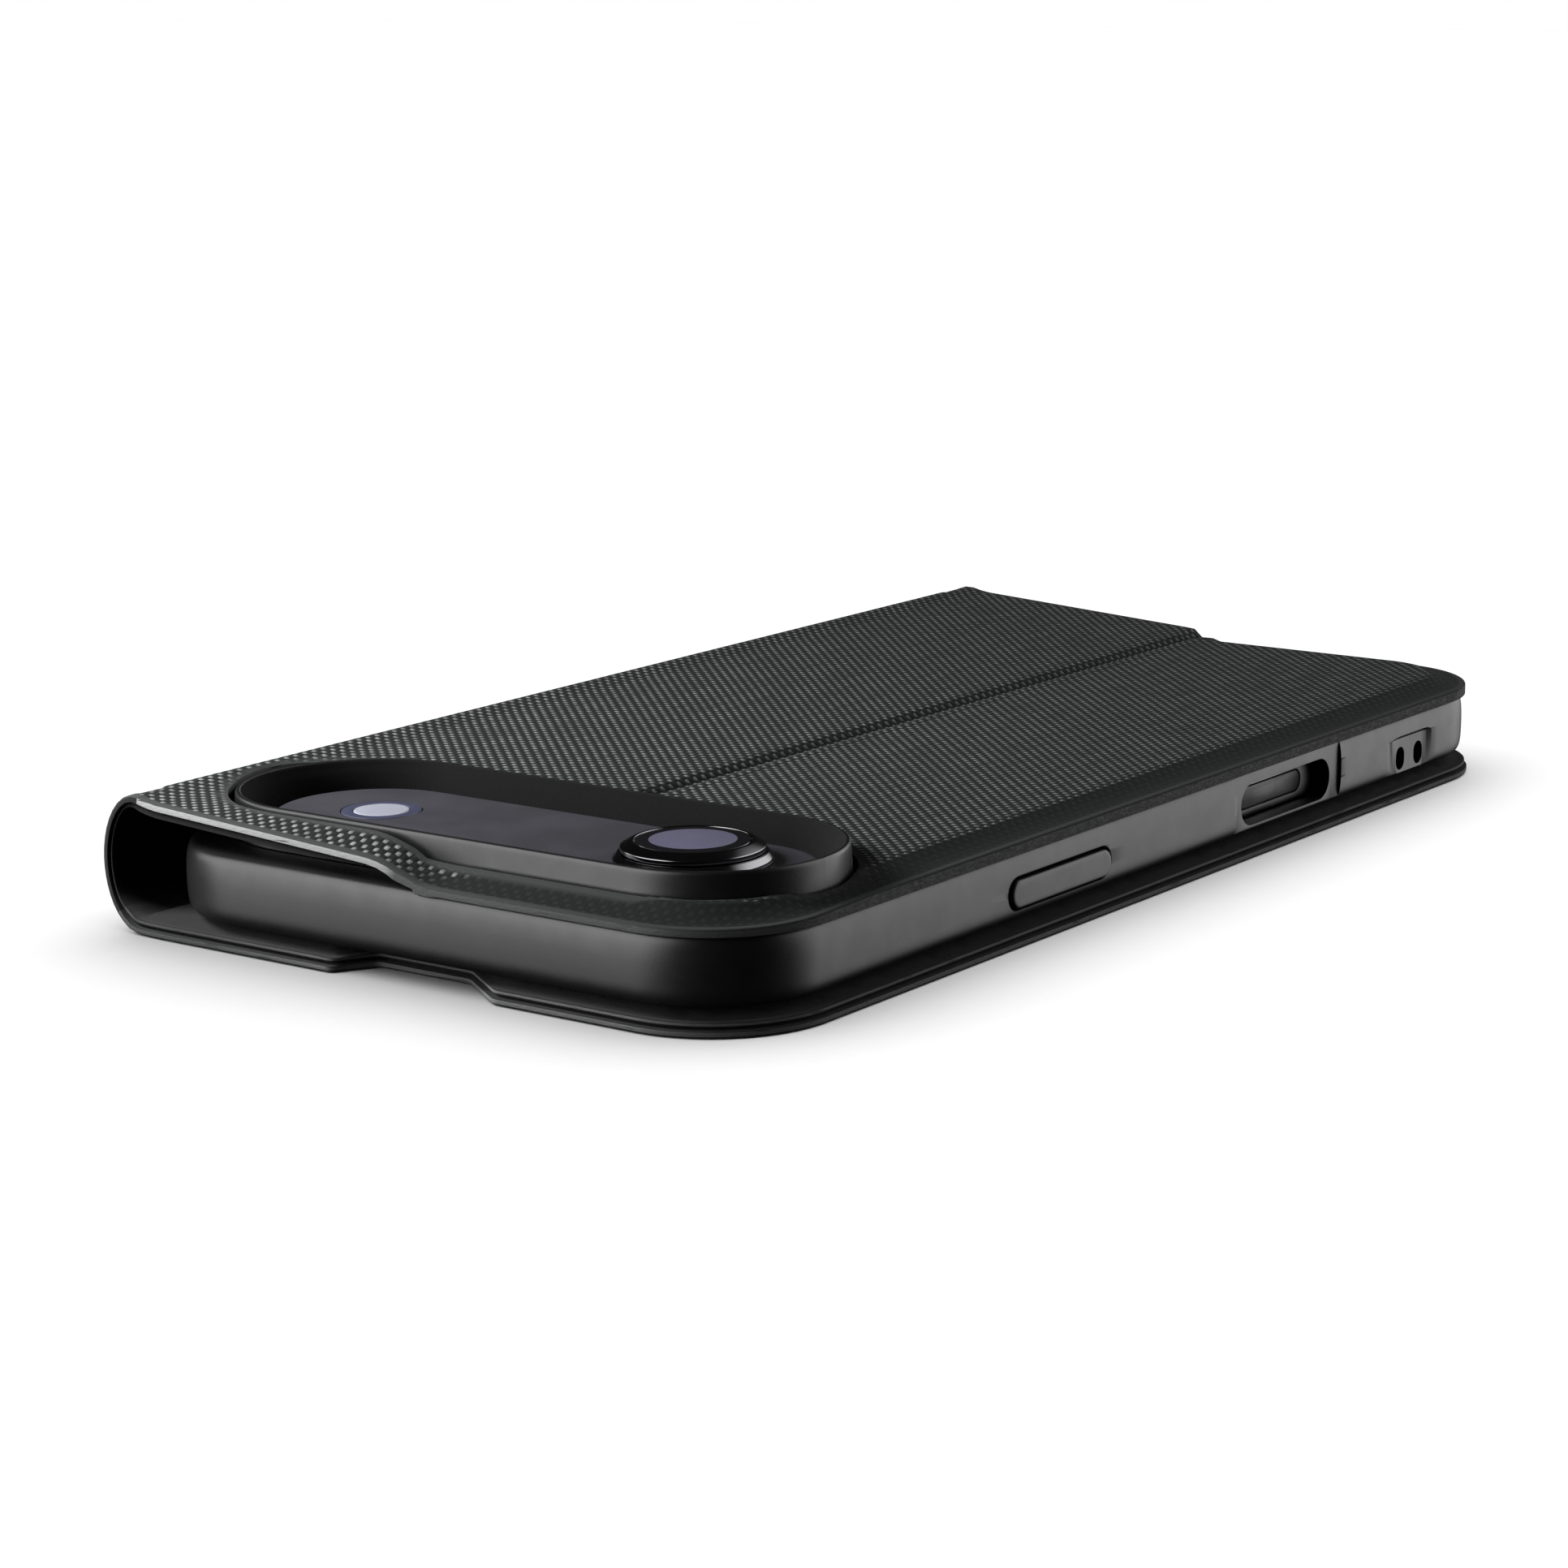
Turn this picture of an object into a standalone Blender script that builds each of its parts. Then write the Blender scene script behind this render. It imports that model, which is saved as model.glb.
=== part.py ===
"""Folio wallet case for a slim phone, closed and lying on its front flap.

Metres, +Z up, +Y along the case with the camera end at -Y, and the spine at -X.
Every shape is drawn from the tray's centre line, which the case_root empty carries.
All four cover hinges turn about +Y, and a positive turn opens or lifts.
"""
import math

import bmesh
import bpy
from mathutils import Matrix, Vector

MM = 0.001

# Phone, which sets every other size
PHONE_WIDTH = 74.7 * MM
PHONE_LENGTH = 156.2 * MM
PHONE_THICKNESS = 5.64 * MM
PHONE_CORNER = 11.1 * MM
SCREEN_Z = 3.2 * MM
PHONE_BACK_Z = SCREEN_Z + PHONE_THICKNESS

# Tray
SIDE_WALL = 2.4 * MM
END_WALL = 1.55 * MM
PHONE_PLAY = 0.15 * MM
TRAY_WIDTH = PHONE_WIDTH + 2 * (SIDE_WALL + PHONE_PLAY)
TRAY_LENGTH = PHONE_LENGTH + 2 * (END_WALL + PHONE_PLAY)
TRAY_CORNER = 13.2 * MM
TRAY_TOP_Z = 10.2 * MM
POCKET_BOTTOM_Z = 3.05 * MM
POCKET_TOP_Z = 9.25 * MM
LIP_REACH = 1.2 * MM
# Inset from the tray's widest outline and height, from the front lip up to the back
TRAY_PROFILE = [(1.9, 2.6), (1.1, 2.8), (0.55, 3.3), (0.2, 4.1), (0.0, 5.4),
                (0.0, 7.8), (0.1, 9.1), (0.4, 9.85), (1.0, 10.2)]

# Cover: skins, boards and linings are layers with a glue line between them
GLUE_LINE = 0.1 * MM
SEAT_GAP = 0.15 * MM
EDGE_X = TRAY_WIDTH / 2 + 0.8 * MM
CREASE_X = -2.6 * MM
CREASE_Z = 12.0 * MM
CREASE_GAP = 0.5 * MM
FREE_PANEL_TILT = math.radians(3.3)
FREE_PANEL_END_X = -39.3 * MM
FIXED_TOP_Z = 12.3 * MM
FIXED_RIM_Z = 11.15 * MM
FREE_TOP_Z = 12.65 * MM
BORDER = 4.4 * MM
BOARD_THICKNESS = 0.85 * MM
LINING_THICKNESS = 0.3 * MM
COVER_CORNER = 13.4 * MM
SQUARE_CORNER = 0.6 * MM

# Spine: half an ellipse in section
SPINE_CENTRE = (-39.5 * MM, 7.6 * MM)
SPINE_REACH = 5.0 * MM
SPINE_RISE = 7.55 * MM
SPINE_SKIN = 0.7 * MM
SPINE_START_X = -39.9 * MM
SPINE_END_ANGLE = -14
GUTTER_ANGLES = (-25, -50)

# Hinge lines of the cover, (x, z) from the tray's centre line
SPINE_HINGE = (-41.4 * MM, 14.2 * MM)
GUTTER_HINGE = (-43.4 * MM, 4.8 * MM)
FLAP_HINGE = (-41.3 * MM, 1.4 * MM)

# Front flap
FLAP_START_X = -41.0 * MM
FLAP_HALF_LENGTH = 80.1 * MM
FLAP_SKIN = 0.7 * MM
FLAP_BOARD_Z = (0.8 * MM, 1.35 * MM)
FLAP_LINING_Z = (1.45 * MM, 1.95 * MM)
CARD_POCKET_Z = (2.05 * MM, 2.4 * MM)
CARD_POCKET_LOW = (-31 * MM, -46 * MM)
CARD_POCKET_HIGH = (27 * MM, 46 * MM)
NOTCH_X = (-12 * MM, 9 * MM)
NOTCH_DEPTH = 4.5 * MM
NOTCH_SLANT = 2.6 * MM
MAGNET_SIZE = (3 * MM, 12 * MM)
MAGNET_X = 33 * MM
MAGNET_Y = 34 * MM

# Camera opening, guard ring and the phone's camera bar
CAMERA_X = -0.75 * MM
CAMERA_Y = -60.75 * MM
RING_OUTER = (74.8 * MM, 28.4 * MM)
RING_INNER = (71.6 * MM, 25.2 * MM)
RING_TOP_Z = 14.7 * MM
RING_SPIGOT_Z = 9.35 * MM
SPIGOT_WALL = 0.7 * MM
SPIGOT_GAP = 0.2 * MM
COVER_CLEARANCE = 0.4 * MM
BAR_SIZE = (67.4 * MM, 21.8 * MM)
BAR_TOP_Z = 12.2 * MM
LENS_X = 20.0 * MM
FLASH_X = -21.8 * MM

# Openings and buttons in the tray's long walls, as y ranges from the camera end
SIDE_KEY_Y = (46.9 * MM, 66.5 * MM)
ACTION_KEY_Y = (36.0 * MM, 44.0 * MM)
VOLUME_UP_Y = (49.0 * MM, 60.0 * MM)
VOLUME_DOWN_Y = (63.0 * MM, 74.0 * MM)
KEY_Z = (3.9 * MM, 7.0 * MM)
KEY_GROOVE = 0.25 * MM
KEY_PROUD = 0.35 * MM
KEY_DEPTH = 1.9 * MM
CONTROL_Y = (95.5 * MM, 116.2 * MM)
CONTROL_Z = (3.4 * MM, 8.2 * MM)
CONTROL_BAND_Y = (94.0 * MM, 118.4 * MM)
CONTROL_BAND_Z = (3.0 * MM, 9.8 * MM)
BAND_DEPTH = 0.35 * MM
LANYARD_HOLES_Y = (134.1 * MM, 138.7 * MM)
LANYARD_HOLE = (2.2 * MM, 2.8 * MM)
LANYARD_Z = 4.75 * MM
PORT_WIDTH = 13.4 * MM
PORT_Z = (3.3 * MM, 8.5 * MM)
SPEAKER_RADIUS = 0.9 * MM
SPEAKER_X = (14 * MM, 17.2 * MM, 20.4 * MM, 23.6 * MM)

CORNER_STEPS = 9
SMALLEST_RADIUS = 0.3 * MM
THROUGH = 6 * MM


# ---------------------------------------------------------------- scene set-up

def clear_scene():
    for thing in list(bpy.data.objects):
        bpy.data.objects.remove(thing, do_unlink=True)


def new_collection(name):
    collection = bpy.data.collections.new(name)
    bpy.context.scene.collection.children.link(collection)
    return collection


def material(name, colour, roughness, metallic=0.0):
    made = bpy.data.materials.new(name)
    made.use_nodes = True
    shader = made.node_tree.nodes["Principled BSDF"]
    shader.inputs["Base Color"].default_value = (*colour, 1.0)
    shader.inputs["Roughness"].default_value = roughness
    shader.inputs["Metallic"].default_value = metallic
    return made


class Hinge:
    """An empty on a joint's axis, remembering where it stands on the case."""

    def __init__(self, name, x, z, parent=None, tilt=0.0):
        self.place = Vector((x, 0.0, z))
        self.empty = bpy.data.objects.new(name, None)
        self.empty.empty_display_size = 5 * MM
        PARTS.objects.link(self.empty)
        self.empty.rotation_euler = (0.0, tilt, 0.0)
        if parent:
            self.empty.parent = parent.empty
            self.empty.location = self.place - parent.place
        else:
            self.empty.location = self.place


def hang(thing, hinge):
    """Put an object's origin on its hinge without moving its shape."""
    thing.data.transform(Matrix.Translation(-hinge.place))
    thing.parent = hinge.empty


# ------------------------------------------------------------- shape building

def rounded_outline(low, high, radii, inset=0.0):
    """Rectangle with four corner radii, counter-clockwise from the near left."""
    x0, y0 = low[0] + inset, low[1] + inset
    x1, y1 = high[0] - inset, high[1] - inset
    corners = [(x0, y0, 1, 1), (x1, y0, -1, 1), (x1, y1, -1, -1), (x0, y1, 1, -1)]
    outline = []
    for index, (x, y, inward_x, inward_y) in enumerate(corners):
        radius = max(radii[index] - inset, SMALLEST_RADIUS)
        for step in range(CORNER_STEPS + 1):
            angle = math.radians(180 + 90 * (index + step / CORNER_STEPS))
            outline.append((x + inward_x * radius + radius * math.cos(angle),
                            y + inward_y * radius + radius * math.sin(angle)))
    return outline


def centred_outline(width, length, radius, inset=0.0, centre=(0.0, 0.0)):
    low = (centre[0] - width / 2, centre[1] - length / 2)
    high = (centre[0] + width / 2, centre[1] + length / 2)
    return rounded_outline(low, high, [radius] * 4, inset)


def slot_outline(size, inset=0.0, centre=(CAMERA_X, CAMERA_Y)):
    """A slot with fully round ends."""
    return centred_outline(size[0], size[1], min(size) / 2, inset, centre)


def loft(name, sections, look, axis="z"):
    """A closed solid through outlines of equal point count, one per level.

    On axis z an outline is (x, y), on x it is (y, z) and on y it is (z, x).
    """
    shape = bmesh.new()
    rings = []
    for outline, level in sections:
        ring = []
        for first, second in outline:
            place = {"z": (first, second, level),
                     "x": (level, first, second),
                     "y": (second, level, first)}[axis]
            ring.append(shape.verts.new(place))
        rings.append(ring)
    for lower, upper in zip(rings, rings[1:]):
        for index in range(len(lower)):
            after = (index + 1) % len(lower)
            shape.faces.new((lower[index], lower[after], upper[after], upper[index]))
    shape.faces.new(list(reversed(rings[0])))
    shape.faces.new(rings[-1])
    bmesh.ops.recalc_face_normals(shape, faces=shape.faces)
    return add_object(name, shape, look)


def add_object(name, shape, look):
    mesh = bpy.data.meshes.new(name)
    shape.to_mesh(mesh)
    shape.free()
    mesh.shade_smooth()
    mesh.set_sharp_from_angle(angle=math.radians(35))
    thing = bpy.data.objects.new(name, mesh)
    PARTS.objects.link(thing)
    if look:
        mesh.materials.append(look)
    return thing


def plate(name, outline, bottom, top, look):
    return loft(name, [(outline, bottom), (outline, top)], look)


def turned(name, profile, centre, look, steps=40):
    """A ring or disc turned about the vertical through centre."""
    shape = bmesh.new()
    points = [shape.verts.new((radius, 0.0, height)) for radius, height in profile]
    for first, second in zip(points, points[1:]):
        shape.edges.new((first, second))
    if profile[0][0] > 0:
        shape.edges.new((points[-1], points[0]))
    thing = add_object(name, shape, look)
    thing.location = (centre[0], centre[1], 0.0)
    screw = thing.modifiers.new("turn", "SCREW")
    screw.axis = "Z"
    screw.steps = steps
    screw.render_steps = steps
    screw.use_merge_vertices = True
    screw.merge_threshold = 0.00001
    thing.parent = ROOT.empty
    return thing


def cutter(thing, parent=None):
    """Make a solid into a hidden cutter that stands on the case's frame."""
    for collection in list(thing.users_collection):
        collection.objects.unlink(thing)
    CUTTERS.objects.link(thing)
    thing.hide_render = True
    thing.display_type = "WIRE"
    hang(thing, parent or ROOT)
    return thing


def cut(thing, tool):
    modifier = thing.modifiers.new("cut_" + tool.name, "BOOLEAN")
    modifier.operation = "DIFFERENCE"
    modifier.solver = "EXACT"
    modifier.object = tool


# -------------------------------------------------------------------- the tray

def along(y_from_camera_end):
    """A distance from the camera end as a y place."""
    return y_from_camera_end - TRAY_LENGTH / 2


def wall_cutter(name, y_range, z_range, x_range, radius=None):
    """A rounded cutter that runs along x through a long wall."""
    low = (along(y_range[0]), z_range[0])
    high = (along(y_range[1]), z_range[1])
    if radius is None:
        radius = min(high[0] - low[0], high[1] - low[1]) / 2
    outline = rounded_outline(low, high, [radius] * 4)
    return cutter(loft(name, [(outline, x_range[0]), (outline, x_range[1])], None, "x"))


def key_window(name, y_range, side):
    """The opening that a button pad moves in, on side +1 or -1."""
    ys = (y_range[0] - KEY_GROOVE, y_range[1] + KEY_GROOVE)
    zs = (KEY_Z[0] - KEY_GROOVE, KEY_Z[1] + KEY_GROOVE)
    inner = side * (PHONE_WIDTH / 2 - THROUGH / 4)
    outer = side * (TRAY_WIDTH / 2 + THROUGH)
    return wall_cutter(name, ys, zs, sorted((inner, outer)))


def make_tray_shell(look):
    sections = []
    for inset, height in TRAY_PROFILE:
        outline = centred_outline(TRAY_WIDTH, TRAY_LENGTH, TRAY_CORNER, inset * MM)
        sections.append((outline, height * MM))
    shell = loft("tray_shell", sections, look)
    pocket = centred_outline(PHONE_WIDTH, PHONE_LENGTH, PHONE_CORNER, -PHONE_PLAY)
    mouth = centred_outline(PHONE_WIDTH, PHONE_LENGTH, PHONE_CORNER, LIP_REACH)
    cut(shell, cutter(plate("pocket_cutter", pocket, POCKET_BOTTOM_Z, POCKET_TOP_Z, None)))
    cut(shell, cutter(plate("mouth_cutter", mouth, 0.0, POCKET_BOTTOM_Z + 0.5 * MM, None)))
    opening = slot_outline(RING_INNER, -SPIGOT_WALL - SPIGOT_GAP)
    cut(shell, cutter(plate("camera_cutter", opening, PHONE_BACK_Z, TRAY_TOP_Z + THROUGH, None)))
    for tool in tray_side_cutters() + tray_end_cutters():
        cut(shell, tool)
    hang(shell, ROOT)


def tray_side_cutters():
    outer = TRAY_WIDTH / 2
    inner = PHONE_WIDTH / 2 - THROUGH / 4
    beyond = outer + THROUGH
    tools = [
        key_window("side_key_window", SIDE_KEY_Y, 1),
        key_window("action_key_window", ACTION_KEY_Y, -1),
        key_window("volume_up_window", VOLUME_UP_Y, -1),
        key_window("volume_down_window", VOLUME_DOWN_Y, -1),
        wall_cutter("control_band_cutter", CONTROL_BAND_Y, CONTROL_BAND_Z,
                    (outer - BAND_DEPTH, beyond), 0.8 * MM),
        wall_cutter("control_window", CONTROL_Y, CONTROL_Z, (inner, beyond)),
    ]
    for index, centre in enumerate(LANYARD_HOLES_Y):
        ys = (centre - LANYARD_HOLE[0] / 2, centre + LANYARD_HOLE[0] / 2)
        zs = (LANYARD_Z - LANYARD_HOLE[1] / 2, LANYARD_Z + LANYARD_HOLE[1] / 2)
        tools.append(wall_cutter("lanyard_hole_" + str(index), ys, zs, (inner, beyond)))
    return tools


def tray_end_cutters():
    """Charging port and speaker holes in the end wall furthest from the camera."""
    start = PHONE_LENGTH / 2 - THROUGH / 4
    end = TRAY_LENGTH / 2 + THROUGH
    port = rounded_outline((PORT_Z[0], -PORT_WIDTH / 2), (PORT_Z[1], PORT_WIDTH / 2),
                           [(PORT_Z[1] - PORT_Z[0]) / 2] * 4)
    tools = [cutter(loft("port_cutter", [(port, start), (port, end)], None, "y"))]
    centre_z = (PORT_Z[0] + PORT_Z[1]) / 2
    for side in (-1, 1):
        for place in SPEAKER_X:
            hole = centred_outline(2 * SPEAKER_RADIUS, 2 * SPEAKER_RADIUS, SPEAKER_RADIUS,
                                   centre=(centre_z, side * place))
            name = "speaker_cutter_{}_{:.0f}".format("left" if side < 0 else "right", place / MM)
            tools.append(cutter(loft(name, [(hole, start), (hole, end)], None, "y")))
    return tools


def make_tray_lining(look):
    outline = centred_outline(PHONE_WIDTH, PHONE_LENGTH, PHONE_CORNER, 0.6 * MM)
    lining = plate("tray_lining", outline, PHONE_BACK_Z + GLUE_LINE,
                   POCKET_TOP_Z - GLUE_LINE, look)
    opening = slot_outline(RING_INNER, -SPIGOT_WALL - SPIGOT_GAP)
    cut(lining, cutter(plate("lining_cutter", opening, 0.0, TRAY_TOP_Z, None)))
    hang(lining, ROOT)


def make_camera_guard_ring(look):
    """The wall around the cameras, with a spigot that plugs into the tray."""
    seat = TRAY_TOP_Z + GLUE_LINE
    spigot = slot_outline(RING_INNER, -SPIGOT_WALL)
    sections = [(spigot, RING_SPIGOT_Z), (spigot, seat), (slot_outline(RING_OUTER), seat)]
    for inset, drop in ((0.0, 1.0), (0.08, 0.45), (0.25, 0.12), (0.5, 0.0)):
        sections.append((slot_outline(RING_OUTER, inset * MM), RING_TOP_Z - drop * MM))
    ring = loft("camera_guard_ring", sections, look)
    bore = slot_outline(RING_INNER)
    flare = slot_outline(RING_INNER, -0.3 * MM)
    tool = loft("ring_bore_cutter", [(bore, 0.0), (bore, RING_TOP_Z - 0.3 * MM),
                                     (flare, RING_TOP_Z), (flare, RING_TOP_Z + THROUGH)], None)
    cut(ring, cutter(tool))
    hang(ring, ROOT)


def make_button_pad(name, y_range, side, look):
    """A pad that slides in the tray's wall and stands a little proud of it."""
    low = (along(y_range[0]), KEY_Z[0])
    high = (along(y_range[1]), KEY_Z[1])
    radius = (KEY_Z[1] - KEY_Z[0]) / 2
    face = side * (TRAY_WIDTH / 2 + KEY_PROUD)
    sections = []
    for inset, depth in ((0.0, KEY_DEPTH + KEY_PROUD), (0.0, 0.3 * MM), (0.12 * MM, 0.08 * MM),
                         (0.3 * MM, 0.0)):
        sections.append((rounded_outline(low, high, [radius] * 4, inset), face - side * depth))
    pad = loft(name, sections, look, "x")
    centre = Hinge(name + "_slide", face, (KEY_Z[0] + KEY_Z[1]) / 2, ROOT)
    hang(pad, centre)


# ------------------------------------------------------------------- the cover

def cover_cutout(name, spare):
    """A vertical cutter round the guard ring, wider than it by spare."""
    outline = slot_outline(RING_OUTER, -spare)
    return cutter(plate(name, outline, 0.0, RING_TOP_Z + THROUGH, None))


def make_fixed_cover(skin_look, board_look):
    """The half of the back cover that is glued to the tray."""
    low = (CREASE_X + CREASE_GAP, -TRAY_LENGTH / 2)
    high = (TRAY_WIDTH / 2 + 0.5 * MM, TRAY_LENGTH / 2)
    radii = [SQUARE_CORNER, COVER_CORNER, COVER_CORNER, SQUARE_CORNER]
    seat = TRAY_TOP_Z + SEAT_GAP
    raised_low = (low[0] + 0.3 * MM, low[1] + BORDER)
    raised_high = (high[0] - BORDER, high[1] - BORDER)
    raised_radii = [SQUARE_CORNER, COVER_CORNER - BORDER, COVER_CORNER - BORDER, SQUARE_CORNER]
    sections = [
        (rounded_outline(low, high, radii), seat),
        (rounded_outline(low, high, radii), FIXED_RIM_Z - 0.2 * MM),
        (rounded_outline(low, high, radii, 0.2 * MM), FIXED_RIM_Z),
        (rounded_outline(raised_low, raised_high, raised_radii), FIXED_TOP_Z),
    ]
    skin = loft("back_skin_fixed", sections, skin_look)
    board_low = (CREASE_X + 2.0 * MM, CAMERA_Y + RING_OUTER[1] / 2 + 2.4 * MM)
    board_high = (raised_high[0] - 0.4 * MM, raised_high[1] - 0.4 * MM)
    board_radii = [1.5 * MM, 1.5 * MM, 8.0 * MM, 1.5 * MM]
    hollow = rounded_outline(board_low, board_high, board_radii, -GLUE_LINE)
    board_top = seat + BOARD_THICKNESS + GLUE_LINE
    tool = plate("fixed_board_hollow", hollow, TRAY_TOP_Z - MM, board_top + GLUE_LINE, None)
    cut(skin, cutter(tool))
    cut(skin, cover_cutout("fixed_cutout", COVER_CLEARANCE))
    hang(skin, ROOT)
    board = plate("back_board_fixed", rounded_outline(board_low, board_high, board_radii),
                  seat + GLUE_LINE, board_top, board_look)
    hang(board, ROOT)


def make_free_cover(skin_look, board_look, lining_look):
    """The half that lifts to make a stand, drawn flat and tilted by its hinge."""
    low = (FREE_PANEL_END_X, -TRAY_LENGTH / 2)
    high = (CREASE_X - CREASE_GAP, TRAY_LENGTH / 2)
    radii = [SQUARE_CORNER] * 4
    skin_low_z = FREE_TOP_Z - 1.6 * MM
    lining_top = skin_low_z - GLUE_LINE
    outline = rounded_outline(low, high, radii)
    edge = rounded_outline(low, high, radii, 0.25 * MM)
    skin = loft("back_skin_free", [(outline, skin_low_z), (outline, FREE_TOP_Z - 0.25 * MM),
                                   (edge, FREE_TOP_Z)], skin_look)
    board_low = (FREE_PANEL_END_X + 2.0 * MM, CAMERA_Y + RING_OUTER[1] / 2 + 2.4 * MM)
    board_high = (CREASE_X - 2.0 * MM, TRAY_LENGTH / 2 - 2.0 * MM)
    board_radii = [1.5 * MM] * 4
    hollow = rounded_outline(board_low, board_high, board_radii, -GLUE_LINE)
    board_z = (skin_low_z + 0.02 * MM, skin_low_z + BOARD_THICKNESS)
    tool = plate("free_board_hollow", hollow, skin_low_z - MM, board_z[1] + GLUE_LINE, None)
    cut(skin, cutter(tool, FREE_PANEL))
    cut(skin, cover_cutout("free_cutout", COVER_CLEARANCE))
    hang(skin, FREE_PANEL)
    board = plate("back_board_free", rounded_outline(board_low, board_high, board_radii),
                  board_z[0], board_z[1], board_look)
    hang(board, FREE_PANEL)
    lining = plate("back_lining_free", rounded_outline(low, high, radii, 0.2 * MM),
                   lining_top - LINING_THICKNESS, lining_top, lining_look)
    cut(lining, cover_cutout("free_lining_cutout", COVER_CLEARANCE))
    hang(lining, FREE_PANEL)


def spine_point(angle, depth):
    """A point (z, x) on the spine's section, depth in from its outer face."""
    turn = math.radians(angle)
    outward = Vector((-math.cos(turn) / SPINE_REACH, math.sin(turn) / SPINE_RISE)).normalized()
    x = SPINE_CENTRE[0] - SPINE_REACH * math.cos(turn) - depth * outward.x
    z = SPINE_CENTRE[1] + SPINE_RISE * math.sin(turn) - depth * outward.y
    return (z, x)


def spine_strip(name, angles, depths, inset, look, hinge):
    """A strip of the spine between two angles and two depths, along the case."""
    steps = max(4, round(abs(angles[1] - angles[0]) / 5))
    sweep = [angles[0] + (angles[1] - angles[0]) * step / steps for step in range(steps + 1)]
    outline = [spine_point(angle, depths[0]) for angle in sweep]
    outline += [spine_point(angle, depths[1]) for angle in reversed(sweep)]
    half = TRAY_LENGTH / 2 - inset
    strip = loft(name, [(outline, -half), (outline, half)], look, "y")
    hang(strip, hinge)


def make_spine(skin_look, lining_look):
    start = math.degrees(math.acos((SPINE_CENTRE[0] - SPINE_START_X) / SPINE_REACH))
    layers = ((0.0, SPINE_SKIN), (SPINE_SKIN + GLUE_LINE, SPINE_SKIN + GLUE_LINE + LINING_THICKNESS))
    spine_strip("spine_skin", (start, SPINE_END_ANGLE), layers[0], 0.0, skin_look, SPINE)
    spine_strip("spine_lining", (start - 2, SPINE_END_ANGLE + 2), layers[1], 0.5 * MM,
                lining_look, SPINE)
    spine_strip("gutter_skin", GUTTER_ANGLES, layers[0], 0.0, skin_look, GUTTER)
    spine_strip("gutter_lining", (GUTTER_ANGLES[0] - 2, GUTTER_ANGLES[1] + 2), layers[1],
                0.5 * MM, lining_look, GUTTER)


def notch_cutter(name, spare):
    """The earpiece notch in the flap's camera end, wider by spare for the board."""
    edge = -FLAP_HALF_LENGTH
    far = edge + NOTCH_DEPTH + spare
    left, right = NOTCH_X[0] - spare, NOTCH_X[1] + spare
    outline = [(left - NOTCH_SLANT, edge - NOTCH_DEPTH), (right + NOTCH_SLANT, edge - NOTCH_DEPTH),
               (right, edge), (right - NOTCH_SLANT, far), (left + NOTCH_SLANT, far), (left, edge)]
    return cutter(plate(name, outline, -MM, 3 * MM, None))


def make_flap(skin_look, board_look, lining_look, magnet_look):
    low = (FLAP_START_X, -FLAP_HALF_LENGTH)
    high = (EDGE_X, FLAP_HALF_LENGTH)
    radii = [SQUARE_CORNER, COVER_CORNER, COVER_CORNER, SQUARE_CORNER]
    outline = rounded_outline(low, high, radii)
    edge = rounded_outline(low, high, radii, 0.15 * MM)
    skin = loft("flap_skin", [(edge, 0.0), (outline, 0.2 * MM), (outline, FLAP_SKIN)], skin_look)
    cut(skin, notch_cutter("flap_skin_notch", 0.0))
    hang(skin, FLAP)
    lining = loft("flap_lining", [(outline, FLAP_LINING_Z[0]), (outline, FLAP_LINING_Z[1] - 0.15 * MM),
                                  (edge, FLAP_LINING_Z[1])], lining_look)
    cut(lining, notch_cutter("flap_lining_notch", 0.0))
    hang(lining, FLAP)
    board = plate("flap_board", rounded_outline(low, high, radii, 2.0 * MM),
                  FLAP_BOARD_Z[0], FLAP_BOARD_Z[1], board_look)
    cut(board, notch_cutter("flap_board_notch", 2.0 * MM))
    for name, side in (("near", -1), ("far", 1)):
        place = (MAGNET_X, side * MAGNET_Y)
        hole = centred_outline(*MAGNET_SIZE, 0.5 * MM, -GLUE_LINE, place)
        cut(board, cutter(plate("magnet_hole_" + name, hole, 0.0, 3 * MM, None)))
        magnet = plate("flap_magnet_" + name, centred_outline(*MAGNET_SIZE, 0.5 * MM, 0.0, place),
                       FLAP_BOARD_Z[0], FLAP_BOARD_Z[1], magnet_look)
        hang(magnet, FLAP)
    hang(board, FLAP)


def make_card_pocket(look):
    """The pocket panel sewn inside the flap, open towards the flap's free edge."""
    outline = rounded_outline(CARD_POCKET_LOW, CARD_POCKET_HIGH, [2 * MM] * 4)
    pocket = plate("card_pocket", outline, CARD_POCKET_Z[0], CARD_POCKET_Z[1], look)
    thumb = centred_outline(14 * MM, 18 * MM, 7 * MM, centre=(CARD_POCKET_HIGH[0] + 2 * MM, 0.0))
    cut(pocket, cutter(plate("thumb_notch_cutter", thumb, 0.0, 3 * MM, None)))
    hang(pocket, FLAP)


# ------------------------------------------------------------ the fitted phone

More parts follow.
